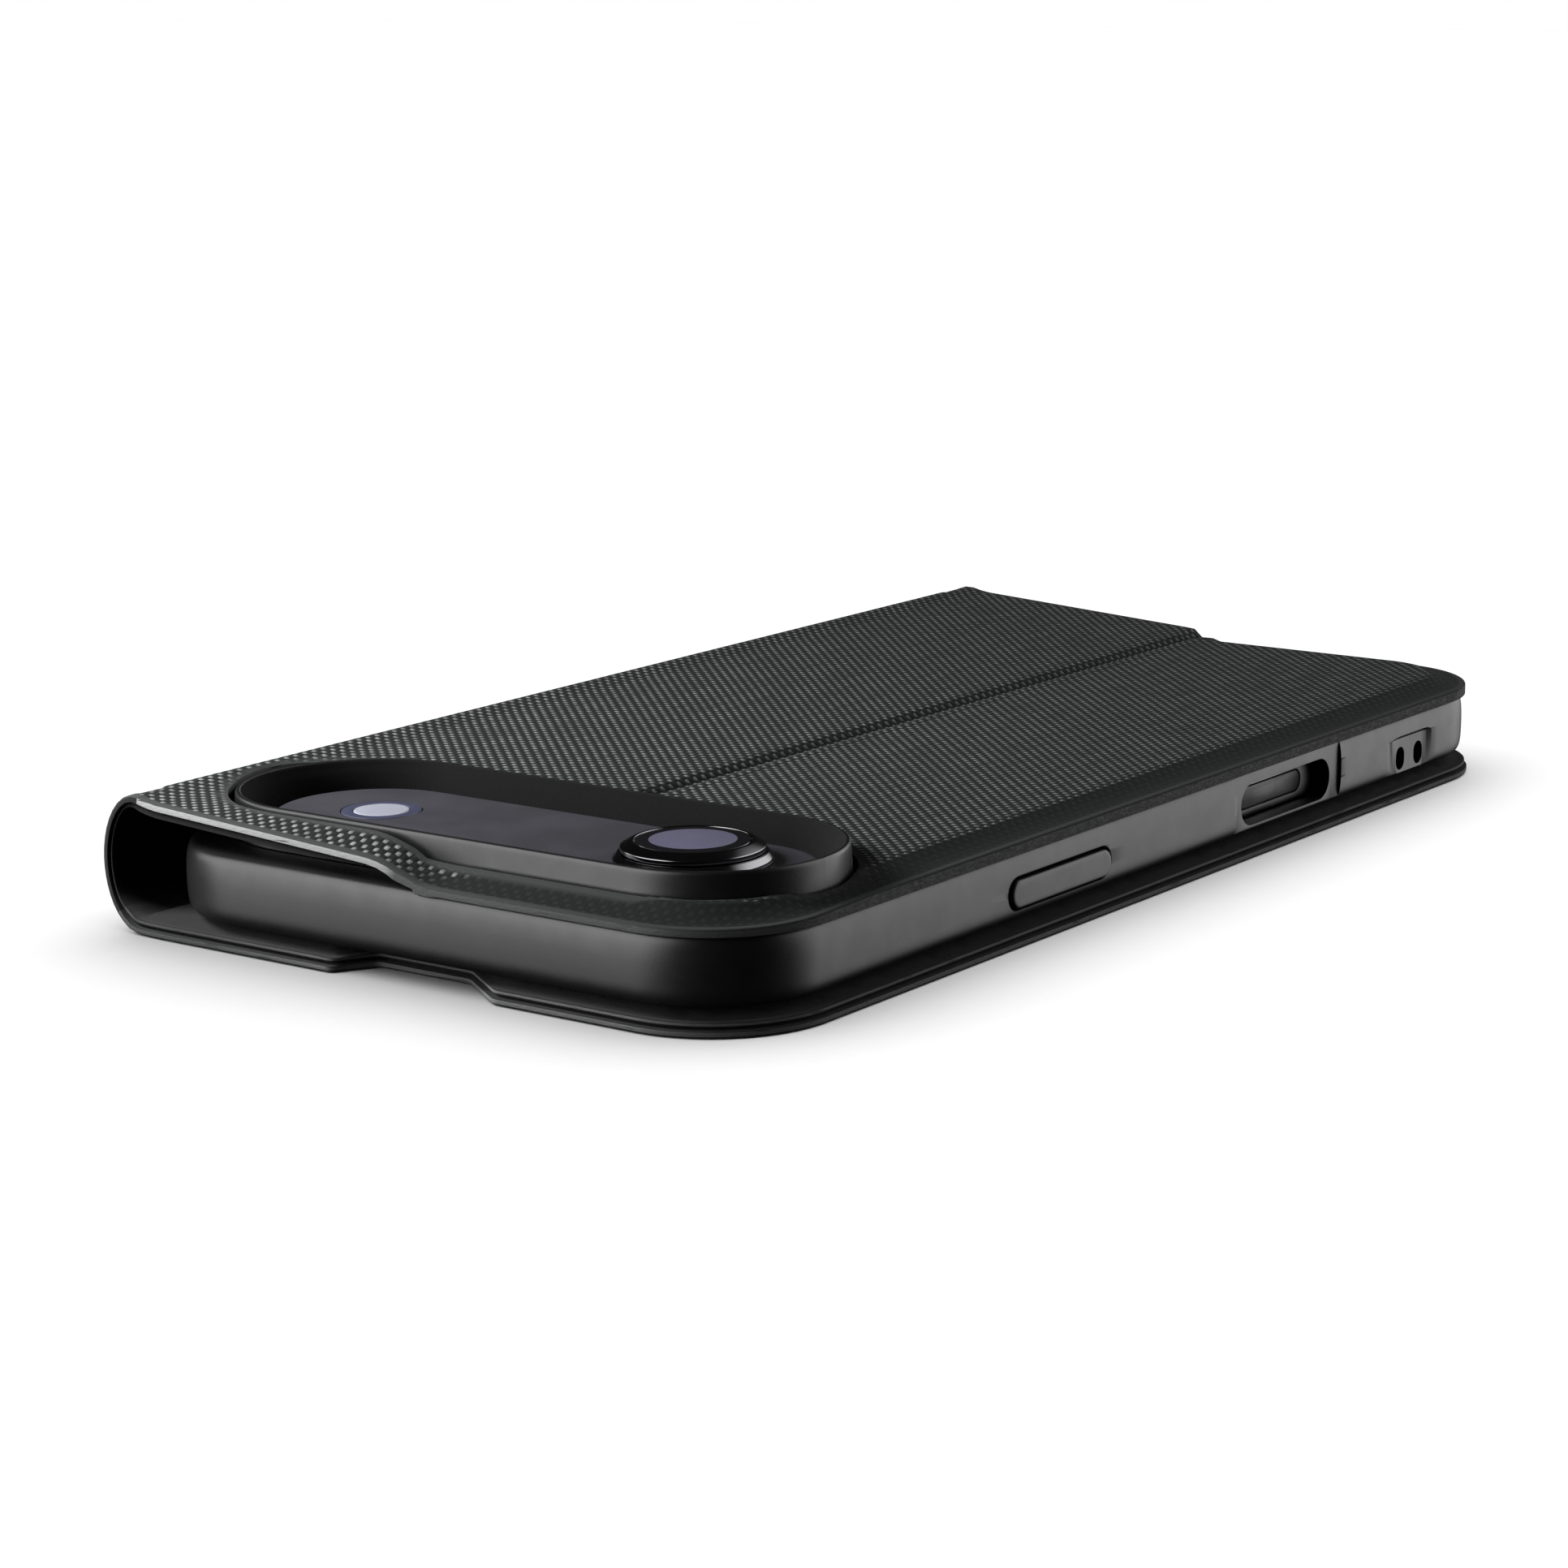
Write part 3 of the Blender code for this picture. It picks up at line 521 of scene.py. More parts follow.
def soft_edge(edge, radius=0.28):
    """How far a sheet's face falls away at its cut edge."""
    reach = np.clip(radius - edge, 0, radius)
    return 0.7 * (radius - np.sqrt(radius ** 2 - reach ** 2))


# ---- looks

def fill(tree, socket, value):
    """Links a node's output to a socket, or gives the socket a plain value."""
    if isinstance(value, bpy.types.NodeSocket):
        tree.links.new(value, socket)
    else:
        socket.default_value = value


def add_node(tree, kind, values=None, **settings):
    """Adds a node with its settings made and its inputs filled or linked, and gives its outputs."""
    node = tree.nodes.new("ShaderNode" + kind)
    for key, value in settings.items():
        setattr(node, key, value)
    for key, value in (values or {}).items():
        fill(tree, node.inputs[key], value)
    return node.outputs


class Paint:
    """One material, with short ways to add and join its nodes."""

    def __init__(self, name, roughness=0.5, metallic=0.0, **sockets):
        self.material = bpy.data.materials.new(name)
        self.material.use_nodes = True
        self.tree = self.material.node_tree
        self.set(Roughness=roughness, Metallic=metallic, **sockets)

    def set(self, **sockets):
        """Fills or links the shader's own sockets, with _ for a space in their names."""
        for key, value in sockets.items():
            fill(self.tree, self.tree.nodes["Principled BSDF"].inputs[key.replace("_", " ")], value)

    def node(self, kind, values=None, **settings):
        return add_node(self.tree, kind, values, **settings)

    def math(self, operation, first, second=0.0):
        return self.node("Math", {0: first, 1: second}, operation=operation)[0]

    def plus(self, first, second):
        return self.math("ADD", first, second)

    def minus(self, first, second):
        return self.math("SUBTRACT", first, second)

    def times(self, first, second):
        return self.math("MULTIPLY", first, second)

    def span(self, value, low, high, to_low=0.0, to_high=1.0, kind="SMOOTHSTEP"):
        values = dict(enumerate((value, low, high, to_low, to_high)))
        return self.node("MapRange", values, interpolation_type=kind)[0]

    def mix(self, share, first, second):
        first, second = ((*colour, 1) if isinstance(colour, tuple) else colour for colour in (first, second))
        return self.node("Mix", {0: share, 6: first, 7: second}, data_type="RGBA")[2]

    def where(self):
        return self.node("TexCoord")["Object"]

    def mark(self, name):
        return self.node("Attribute", attribute_name=name)["Fac"]

    def stretched(self, vector, *scale):
        return self.node("Mapping", {"Vector": vector, "Scale": scale})[0]

    def noise(self, vector, per_mm, detail=3.0):
        values = {"Vector": vector, "Scale": per_mm / MM, "Detail": detail, "Roughness": 0.55}
        return self.node("TexNoise", values)["Fac"]

    def finish(self, colour, roughness, height, relief_mm, strength=1.0):
        """Joins the colour, the roughness and the relief to the shader."""
        bump = self.node("Bump", {"Strength": strength, "Distance": relief_mm * MM, "Height": height})[0]
        self.set(Base_Color=colour, Roughness=roughness, Normal=bump)
        return self.material


def shade(colour, *factors):
    """A colour with its parts multiplied by one factor, or by one each."""
    factors = factors if len(factors) > 1 else factors * 3
    return tuple(part * factor for part, factor in zip(colour, factors))


THREAD_ALONG = 0.79
THREAD_ACROSS = 0.74


def woven_look():
    """Plain weave of a grey and a black thread, pressed flat along the borders, where the grey thread is also
    darkened as painted shade.
    """
    paint = Paint("woven_cloth", 0.6, Sheen_Weight=0.01, Sheen_Roughness=0.4, Specular_IOR_Level=0.06)
    pattern = paint.node("UVMap", uv_map="weave")[0]
    flat = paint.node("SeparateXYZ", {0: pattern})
    wander = paint.times(paint.minus(paint.noise(pattern, 0.35, 2.0), 0.5), 0.35)
    waves = [paint.math("SINE", paint.plus(paint.times(flat[axis], math.pi / (pitch * MM)), wander))
             for axis, pitch in ((0, THREAD_ALONG), (1, THREAD_ACROSS))]
    weave = paint.times(*waves)
    grey_float, black_float = (paint.math("POWER", paint.math("MAXIMUM", part, 0.0), 0.6)
                               for part in (weave, paint.times(weave, -1.0)))
    plain, pressed = paint.mark("plain"), paint.mark("pressed")
    thread_tone = paint.noise(paint.stretched(pattern, 1.0, 0.12, 1.0), 0.9, 2.0)
    fibre = paint.noise(pattern, 9.0, 2.0)
    grey = paint.mix(paint.span(thread_tone, 0.3, 0.7), (0.052, 0.055, 0.0535), (0.092, 0.097, 0.0945))
    # painted shade: on the pressed border the grey thread is darkened nearly to black, standing in for the
    # shade on the border's slope; the relief below is the real flattening
    grey = paint.mix(pressed, grey, (0.009, 0.01, 0.0095))
    black = paint.mix(fibre, (0.004, 0.0046, 0.0043), (0.009, 0.0102, 0.0096))
    share = paint.span(grey_float, 0.25, 0.85)
    smooth = paint.mix(fibre, (0.013, 0.0139, 0.0135), (0.023, 0.0242, 0.0238))
    colour = paint.mix(plain, paint.mix(share, black, grey), smooth)
    relief = paint.times(paint.minus(1.0, paint.times(pressed, 0.8)), paint.minus(1.0, plain))
    height = paint.times(paint.plus(grey_float, paint.times(black_float, 0.55)), relief)
    height = paint.plus(height, paint.times(fibre, 0.12))
    return paint.finish(colour, paint.span(share, 0.0, 1.0, 0.72, 0.5, "LINEAR"), height, 0.16)


def raw_edge_look():
    """The cut edge of the cover: pale pressed fibre on the free panel, darker elsewhere."""
    paint = Paint("cut_edge", 0.75, Specular_IOR_Level=0.3)
    where = paint.where()
    fibre = paint.noise(paint.stretched(where, 1.0, 1.0, 3.0), 1.6, 4.0)
    layer = paint.noise(paint.stretched(where, 0.2, 0.2, 2.5), 1.0, 1.0)
    dark = paint.mix(fibre, (0.017, 0.0178, 0.0175), (0.04, 0.0412, 0.041))
    pale = paint.mix(fibre, (0.09, 0.091, 0.092), (0.16, 0.16, 0.16))
    colour = paint.mix(paint.mark("pale"), dark, pale)
    colour = paint.mix(paint.span(layer, 0.62, 0.7), colour, (0.02, 0.02, 0.021))
    return paint.finish(colour, paint.span(fibre, 0.3, 0.7, 0.65, 0.9), fibre, 0.05)


def microfibre_look(name, tone):
    """Short brushed nap with soft patches where it lies the other way."""
    paint = Paint(name, 0.92, Sheen_Weight=0.04, Sheen_Roughness=0.5, Specular_IOR_Level=0.15)
    where = paint.where()
    patches = paint.noise(where, 0.06, 2.0)
    nap = paint.noise(paint.stretched(where, 1.0, 2.2, 1.0), 4.0)
    low, middle, high = ((tone * 0.6,) * 3, (tone,) * 3, (tone * 1.6,) * 3)
    colour = paint.mix(paint.span(patches, 0.35, 0.65), shade(low, 1, 1, 1.02), shade(middle, 1, 1, 1.03))
    colour = paint.mix(paint.times(nap, 0.6), colour, high)
    return paint.finish(colour, paint.span(patches, 0.3, 0.7, 0.85, 0.98), nap, 0.08, 0.6)


def plastic_look(name, roughness=0.36, grain=0.012):
    """Satin moulded plastic: fine spark grain, slight flow marks and rubbed patches."""
    paint = Paint(name, Specular_IOR_Level=0.55)
    where = paint.where()
    flow = paint.noise(paint.stretched(where, 1.0, 0.25, 1.0), 0.09, 2.0)
    tone = (PLASTIC_TONE,) * 3
    colour = paint.mix(flow, shade(tone, 0.85, 0.86, 0.9), shade(tone, 1.2, 1.21, 1.25))
    rubbed = paint.span(paint.noise(where, 0.35, 4.0), 0.35, 0.7, roughness + 0.02, roughness - 0.02)
    return paint.finish(colour, rubbed, paint.noise(where, 5.5, 2.0), grain, 0.5)


def metal_look(name, tone, roughness, brushed=0.02):
    """Metal with faint turning marks and handling haze."""
    paint = Paint(name, metallic=1.0)
    where = paint.where()
    marks = paint.noise(paint.stretched(where, 1.0, 1.0, 6.0), 1.4)
    haze = paint.noise(where, 0.22)
    worn = paint.span(haze, 0.35, 0.7, roughness * 0.85, roughness * 1.25)
    return paint.finish(paint.mix(haze, shade(tone, 0.9), tone), worn, marks, brushed, 0.3)


def glass_look(name, tone, roughness, coat=1.0):
    """Dark coated glass with a trace of smudging."""
    paint = Paint(name, Coat_Weight=coat, Coat_Roughness=0.04)
    where = paint.where()
    smudge = paint.noise(where, 0.12, 4.0)
    colour = paint.mix(smudge, shade(tone, 0.88), shade(tone, 1.1))
    smeared = paint.span(smudge, 0.4, 0.65, roughness, roughness * 1.4)
    return paint.finish(colour, smeared, paint.noise(where, 0.5, 2.0), 0.003, 0.3)


def board_look():
    """Grey fibre board, for the stiffeners inside the cover."""
    paint = Paint("fibre_board")
    where = paint.where()
    fibre = paint.noise(paint.stretched(where, 1.0, 0.3, 1.0), 1.1, 5.0)
    fleck = paint.noise(where, 0.9, 1.0)
    colour = paint.mix(fibre, (0.16, 0.145, 0.12), (0.27, 0.25, 0.21))
    colour = paint.mix(paint.span(fleck, 0.7, 0.76), colour, (0.06, 0.055, 0.05))
    return paint.finish(colour, paint.span(fibre, 0.3, 0.7, 0.75, 0.95), fibre, 0.04)


PLASTIC_TONE = 0.004
WOVEN = woven_look()
CUT_EDGE = raw_edge_look()
LINING = microfibre_look("cover_lining", 0.005)
MICROFIBRE = microfibre_look("tray_microfibre", 0.018)
TRAY_PLASTIC = plastic_look("tray_plastic")
RING_PLASTIC = plastic_look("ring_plastic", 0.34)
RING_LINER = microfibre_look("ring_liner", 0.002)
PAD_PLASTIC = plastic_look("pad_plastic", 0.38)
PHONE_METAL = metal_look("phone_metal", (0.16, 0.16, 0.165), 0.5)
BACK_GLASS = glass_look("back_glass", (0.01, 0.0103, 0.01), 0.4, 0.2)
BAR_GLASS = glass_look("bar_glass", (0.022, 0.0215, 0.0255), 0.32, 0.25)
SCREEN_GLASS = glass_look("screen_glass", (0.004, 0.004, 0.005), 0.06)
KEY_GLASS = glass_look("key_glass", (0.008, 0.008, 0.009), 0.42, 0.0)
CHROME = metal_look("polished_metal", (0.24, 0.24, 0.25), 0.13, 0.004)
LENS_BLACK = plastic_look("lens_black", 0.3, 0.004)
LENS_GLASS = glass_look("lens_glass", (0.07, 0.067, 0.1), 0.16, 0.6)
FLASH_GLASS = glass_look("flash_glass", (0.022, 0.024, 0.04), 0.3, 0.3)
FLASH_GLOW = glass_look("flash_diffuser", (0.14, 0.144, 0.17), 0.3, 0.3)
BOARD = board_look()
MAGNET = metal_look("magnet_plating", (0.55, 0.54, 0.52), 0.28)
THREAD = microfibre_look("stitching_thread", 0.05)


def adopt(piece, body, slot_name, *nodes):
    """Rides a new piece on its body, in place of those CAD nodes."""
    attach(piece, body)
    if nodes:
        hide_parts(*nodes)


def finish_node(node, look):
    """Gives a CAD node that is carried over its own look."""
    NODES[node].data.materials.clear()
    NODES[node].data.materials.append(look)


def node_centre(node):
    low, high = cad(node)
    return ((low.x + high.x) / 2, (low.y + high.y) / 2)


# ---- tray

def along(y_from_camera_end):
    """A distance from the camera end as a y place."""
    return y_from_camera_end - TRAY_HALF[1]


def tray_profile():
    """Inset and height up the tray's side, from the front lip to the back."""
    lip = [(1.5, 2.6), (0.92, 2.66), (0.5, 2.92), (0.23, 3.4), (0.08, 4.1), (0.02, 5.2)]
    side = [(0.0, 6.5), (0.02, 7.6), (0.1, 8.6), (0.24, 9.3), (0.52, 9.85), (0.95, 10.12), (1.6, 10.2)]
    return through(lip + side, 4)


def mouth_tool(name, low, high, start, flare, axis="x", side=1, radius=None):
    """A cutter through an outer wall, from start, whose mouth is rounded at the wall's face."""
    wall = side * TRAY_HALF["xy".index(axis)]
    radius = radius or min(high[0] - low[0], high[1] - low[1]) / 2
    levels = [(0.0, side * start)]
    for angle in (0, 30, 60, 90):
        turn = math.radians(angle)
        levels.append((-flare * (1 - math.cos(turn)), wall + side * flare * (math.sin(turn) - 1)))
    levels.append((-flare, wall + side * 4))
    return stacked(name, lambda inset: rounded_outline(low, high, [radius] * 4, inset, 10), levels, [], axis)


def side_tool(name, y_range, z_range, start, flare, radius=None):
    """A cutter through the free side's wall, its y range given from the camera end."""
    low, high = ((along(y), z) for y, z in zip(y_range, z_range))
    return mouth_tool(name, low, high, start, flare, radius=radius)


def node_tool(node, gap, start, flare, side=1):
    """A cutter round a CAD node in a side wall."""
    low, high = cad(node)
    return mouth_tool(node + "_tool", (low.y - gap, low.z - gap), (high.y + gap, high.z + gap), start, flare,
                      side=side)


CONTROL_Y = (95.5, 116.2)
CONTROL_Z = (3.4, 8.2)
CONTROL_BAND = ((94.0, 118.4), (2.2, 11.0))
LANYARD_Y = (134.1, 138.7)
LANYARD_HOLE = (2.2, 2.8)
LANYARD_Z = 4.75
LANYARD_RECESS = (130.6, 141.4)
PORT_Z = (3.3, 8.5)
PORT_WIDTH = 13.4
SPEAKER_X = (14.0, 17.2, 20.4, 23.6)
SPEAKER_WIDTH = 1.8
KEY_GAP = 0.25
PADS = (("side_button", 1), ("action_button", -1), ("volume_up", -1), ("volume_down", -1))


def end_tool(name, x, width, middle_z, height, start, flare):
    """A cutter through the far end's wall."""
    low, high = ((middle_z + side * height / 2, x + side * width / 2) for side in (-1, 1))
    return mouth_tool(name, low, high, start, flare, "y")


def recess_tool():
    """The shallow dish round the lanyard holes, sloped at its near side."""
    wall = TRAY_HALF[0]
    y0, y1 = along(LANYARD_RECESS[0]), along(LANYARD_RECESS[1])
    outline = [(wall + 0.4, y0 - 1.4), (wall - 0.04, y0), (wall - 0.42, y0 + 2.2),
               (wall - 0.42, y1 - 1.3), (wall - 0.06, y1), (wall + 0.4, y1 + 1.0)]
    outline = rounded_section(outline, 0.8, 4)
    low, high = 1.2, 7.7
    return loft("lanyard_recess", [(outline, low), (outline, high - 0.5),
                                   ([(x + 0.5 * (wall + 0.5 - x), y) for x, y in outline], high)], [])


def tray_tools():
    """Cutters for the phone's pocket and its mouth, the camera, and every window and hole."""
    pocket_size, mouth_size = ([2 * (half + growth) for half in PHONE_HALF]
                               for growth in (PHONE_PLAY, -LIP_REACH))
    pocket = centred_outline(pocket_size, PHONE_CORNER + PHONE_PLAY)
    mouth, opened = (centred_outline(mouth_size, PHONE_CORNER - LIP_REACH, inset) for inset in (0.0, -0.35))
    camera = slot_outline(RING_SIZE, RING_WALL - SPIGOT_WALL - 0.2)
    tools = [
        loft("pocket", [(pocket, level) for level in POCKET_Z], []),
        loft("mouth", [(opened, 0.0), (opened, 2.62), (mouth, 2.95), (mouth, POCKET_Z[0] + 0.5)], []),
        loft("camera", [(camera, PHONE_BACK_Z), (camera, TRAY_TOP + 2)], []),
    ]
    inner = PHONE_HALF[0] - 1.0
    tools += [node_tool(body + "_pad", KEY_GAP, inner, 0.22, side) for body, side in PADS]
    tools.append(side_tool("control_band", *CONTROL_BAND, TRAY_HALF[0] - 0.38, 0.12, 0.7))
    tools.append(side_tool("control_window", CONTROL_Y, CONTROL_Z, inner, 0.55))
    tools.append(recess_tool())
    half_width, half_height = LANYARD_HOLE[0] / 2, LANYARD_HOLE[1] / 2
    for centre in LANYARD_Y:
        tools.append(side_tool("lanyard_hole", (centre - half_width, centre + half_width),
                               (LANYARD_Z - half_height, LANYARD_Z + half_height), inner, 0.45))
    start = PHONE_HALF[1] - 1.0
    middle, height = sum(PORT_Z) / 2, PORT_Z[1] - PORT_Z[0]
    tools.append(end_tool("port", 0.0, PORT_WIDTH, middle, height, start, 0.3))
    for x in SPEAKER_X:
        for side in (-1, 1):
            tools.append(end_tool("speaker", side * x, SPEAKER_WIDTH, middle, SPEAKER_WIDTH, start, 0.2))
    return tools


def make_tray():
    def outline_at(inset):
        outline = centred_outline(2 * TRAY_HALF, TRAY_CORNER, inset, steps=24)
        return subdivided(outline, True, lambda length: 40 if length > 20 else 1)

    tray = stacked("tray_body", outline_at, tray_profile(), [TRAY_PLASTIC])
    cut(tray, tray_tools())
    adopt(tray, "tray", "tray_plastic", "tray_shell")
    finish_node("tray_lining", MICROFIBRE)


def make_ring():
    """The wall round the cameras: thin at its rim, with a matt inside that slopes out to it."""
    seat, top = TRAY_TOP + 0.1, RING_HIGH.z
    spigot = RING_WALL - SPIGOT_WALL
    outside = [(0.0, seat), (0.0, seat + 0.3), (0.16, seat + 1.8), (0.3, top - 0.6),
               (0.36, top - 0.22), (0.5, top - 0.03), (0.68, top)]
    inside = [(0.86, top - 0.04), (1.0, top - 0.24), (1.16, top - 0.75), (1.42, top - 1.5),
              (RING_WALL, top - 2.6)]
    profile = [(spigot, RING_LOW.z), (spigot, seat), *through(outside + inside, 3), (RING_WALL, RING_LOW.z)]
    ring = stacked("guard_ring", lambda inset: slot_outline(RING_SIZE, inset), profile,
                   [RING_PLASTIC, RING_LINER], hollow=True)
    for face in ring.data.polygons:
        inwards = (face.center - place(*CAMERA, 0)).xy.dot(face.normal.xy) < 0
        face.material_index = int(inwards and face.center.z > seat * MM and face.normal.z < 0.97)
    adopt(ring, "tray", "tray_plastic", "camera_guard_ring")


def pill_cap(name, node, levels, look, side=1, steps=12):
    """A pill-shaped cap in a side wall; its levels are inset and depth behind the node's face."""
    low, high = cad(node)
    face = high.x if side > 0 else low.x
    radii = [(high.z - low.z) / 2] * 4
    return stacked(name, lambda inset: rounded_outline(low.yz, high.yz, radii, inset, steps),
                   [(inset, face - side * depth) for inset, depth in levels], [look], "x")


def make_pads():
    for body, side in PADS:
        node = body + "_pad"
        low, high = cad(node)
        levels = [(0.0, high.x - low.x)]
        levels += through([(0.0, 0.42), (0.03, 0.24), (0.14, 0.09), (0.34, 0.02), (0.7, 0.0)], 3)
        adopt(pill_cap(node + "_cap", node, levels, PAD_PLASTIC, side), body, "tray_plastic", node)


# ---- phone

def make_phone():
    def outline_at(inset):
        return centred_outline(2 * PHONE_HALF, PHONE_CORNER, inset)

    edge = through([(1.3, 0.0), (0.75, 0.06), (0.36, 0.28), (0.12, 0.68), (0.02, 1.3), (0.0, 2.2)], 4)
    levels = [(inset, SCREEN_Z + height) for inset, height in edge]
    levels += [(inset, PHONE_BACK_Z - depth) for inset, depth in reversed(edge)]
    body = stacked("phone_body", outline_at, levels, [PHONE_METAL])
    back_level, screen_level = cad("phone_back_glass")[0].z - 0.1, cad("phone_screen")[1].z + 0.1
    cut(body, [
        stacked("back_recess", outline_at, [(1.42, back_level), (1.42, PHONE_BACK_Z + 1)], []),
        stacked("screen_recess", outline_at, [(1.42, SCREEN_Z - 1), (1.42, screen_level)], []),
        node_tool("camera_control_key", 0.15, PHONE_HALF[0] - 0.6, 0.01),
        end_tool("socket", 0.0, 9.0, (SCREEN_Z + PHONE_BACK_Z) / 2, 2.8, PHONE_HALF[1] - 6, 0.01),
    ])
    adopt(body, "tray", "phone_metal", "phone_frame")
    rounding = through([(0.0, 0.3), (0.05, 0.14), (0.2, 0.03), (0.5, 0.0)], 3)
    for name, node, look, slot_name, up in (
            ("phone_back_pane", "phone_back_glass", BACK_GLASS, "dark_glass", 1),
            ("phone_front_pane", "phone_screen", SCREEN_GLASS, "screen_glass", -1)):
        back, face = (corner.z for corner in cad(node)[::up])
        levels = [(1.5, back)] + [(1.5 + inset, face - up * depth) for inset, depth in rounding]
        adopt(stacked(name, outline_at, levels, [look]), "tray", slot_name, node)
    key = pill_cap("control_key", "camera_control_key", ((0.0, 0.48), (0.0, 0.14), (0.05, 0.05), (0.14, 0.0)),
                   KEY_GLASS, steps=10)
    adopt(key, "tray", "screen_glass", "camera_control_key")


def make_camera_bar():
    low, high = cad("camera_bar")
    size, centre = (high - low).xy, node_centre("camera_bar")
    rounding = through([(0.0, 1.2), (0.04, 0.7), (0.25, 0.2), (0.7, 0.03), (1.3, 0.0)], 4)
    levels = [(0.0, low.z)] + [(inset, high.z - drop) for inset, drop in rounding]
    bar = stacked("camera_plateau", lambda inset: slot_outline(size, inset, centre), levels, [BAR_GLASS])
    tools = []
    for node, radius, depth in (("flash_window", 4.45, 0.5), ("lens_base_ring", 6.2, 1.2)):
        outline = centred_outline((2 * radius, 2 * radius), radius, 0.0, node_centre(node), 20)
        tools.append(loft(node + "_seat", [(outline, high.z - depth), (outline, high.z + 2)], []))
    cut(bar, tools)
    adopt(bar, "tray", "dark_glass", "camera_bar")


def blacken_rim(cover):
    """Gives the lens cover's outer ring the screen's black glass."""
    cover.data.materials.append(SCREEN_GLASS)
    centre = place(*node_centre("lens_glass"), 0)
    for face in cover.data.polygons:
        face.material_index = int((face.center - centre).xy.length > 4.5 * MM)


def make_lens_and_flash():
    """A stepped lens of two sloping chrome rings, a black tube and a flush domed glass.

    The profiles' heights are from the top of the CAD node that each piece stands for.
    """
    step = [(6.9, -1.0), (8.2, -1.0), (8.2, -0.62), (7.62, 0.0), (6.9, 0.0)]
    bezel = [(5.5, -1.1), (7.4, -1.1), (7.4, -0.62), (6.3, -0.04), (5.98, -0.04), (5.98, -0.34), (5.5, -0.34)]
    tube = [(4.2, -2.0), (5.9, -2.0), (5.9, 0.0), (4.9, 0.0), (4.55, -0.7), (4.2, -0.9)]
    collar = [(3.08, -0.45), (4.3, -0.45), (4.3, -0.02), (3.08, 0.0)]
    glass = [(0.0, -0.7), (5.4, -0.7), (5.4, 0.03), (5.86, 0.03), (5.9, 0.1), (5.84, 0.2)]
    glass += [(5.6 * share, 0.24 + 0.06 * (1 - share ** 2)) for share in (1.0, 0.93, 0.86, 0.8, 0.5, 0.25)]
    dome = [(0.0, -0.5), (3.0, -0.5), (3.0, -0.14), (2.93, -0.06)]
    dome += [(2.85 * share, -0.04 * share ** 2) for share in (1.0, 0.9, 0.7, 0.45, 0.2)]
    for name, node, profile, look, slot_name in (
            ("lens_step_ring", "lens_base_ring", rounded_section(step, 0.13, 5), CHROME, "polished_metal"),
            ("lens_bezel_ring", "lens_bezel", rounded_section(bezel, 0.1, 5), CHROME, "polished_metal"),
            ("lens_tube", "lens_barrel", rounded_section(tube, 0.15), LENS_BLACK, "lens_black"),
            ("lens_cover_glass", "lens_glass", glass + [(0.0, 0.3)], LENS_GLASS, "lens_cover"),
            ("flash_collar", "flash_window", rounded_section(collar, 0.08), FLASH_GLASS, "flash_lens"),
            ("flash_lens_disc", "flash_diffuser", dome + [(0.0, 0.0)], FLASH_GLOW, "flash_diffuser")):
        top = cad(node)[1].z
        made = turned(name, [(radius, top + height) for radius, height in profile], node_centre(node), look)
        if node == "lens_glass":
            blacken_rim(made)
        adopt(made, "tray", slot_name, node)


# ---- cover

PANEL_SEAM = SECTION.at_back(-39.0)
SPINE_SEAM = SECTION.at_angle(10)
GUTTER_SEAM = SECTION.at_angle(-49)
FLAP_STOP = float(SECTION.s[-1])
RIM_DROP = 1.15
BORDER_FLAT = 1.1
NEAR_RIM_DROP = 1.58
SKIN_DEPTHS = ((0.0, 0.9), (0.0, 0.7), (0.0, 0.7))
LINING_DEPTHS = ((0.98, 1.72), (0.76, 1.1), (0.98, 1.5))
BOARD_DEPTH = {"skin": (0.0, -0.22), "lining": (0.64, 0.28)}
FLAP_BOARD_DEPTH = 0.44
LINING_INSET = 0.3
LINING_START = -7.4
LAYERS = (("skin", 0.0, WOVEN, "woven_skin"), ("lining", LINING_INSET, LINING, "cover_lining"))
CREASE_ZONE = ((-0.6, CREASE[1]), (-4.6, CREASE[1]))
TOP_ZONE = ((-39.3, 14.7), (-43.51, 10.91))
LOW_ZONE = ((-43.93, 7.28), (-42.4, 2.65))
FLAP_ZONE = ((-42.28, 2.5), (-38.5, 0.95))
NOTCH = ((-12.0, 0.0), (-9.4, 4.5), (2.9, 4.5), (9.6, 0.0))


def near_end(y):
    """1 at the cover's camera end, 0 from the guard ring's middle on."""
    return 1 - smoothstep(-COVER_END + 1.0, -COVER_END + 9.0, y)


def held_down(x, y):
    """1 where the back cover is glued down to the tray, 0 on the free panel."""
    near = near_end(y)
    return smoothstep(-4.6 - 2.6 * near, 1.4 + 1.0 * near, x)


def border_drop(s, y, free_line):
    """How far the glued half's border falls from its plateau, with a pressed line where it starts.

    At the camera end the crease's groove and ridge fade out.
    """
    edge = edge_distance(s, y, free_line)
    share = np.clip((BORDER - edge) / (BORDER - BORDER_FLAT), 0, 1)
    slope = 1 - (1 - share) ** 1.6
    full = NEAR_RIM_DROP + (RIM_DROP - NEAR_RIM_DROP) * smoothstep(-76.0, -56.0, y)
    line = 0.1 * np.exp(-((edge - BORDER - 0.1) / 0.16) ** 2)
    x = SECTION.x_at(s)
    return (slope * full + line) * held_down(x, y) - SECTION.crease(x) * near_end(y)


def ring_rise(x, y):
    """How far the free panel's strip beside the guard ring curls up towards the ring's rim."""
    beside = smoothstep(-COVER_END + 0.4, -COVER_END + 4.6, y)
    beside *= 1 - smoothstep(-COVER_END + 5.6, -COVER_END + 17, y)
    level = PANEL_TOP + (CREASE[0] - x) * math.tan(PANEL_TILT)
    return np.clip(RING_HIGH.z - 0.25 - level, 0, 2) * beside * (1 - smoothstep(-10.0, -0.5, x))


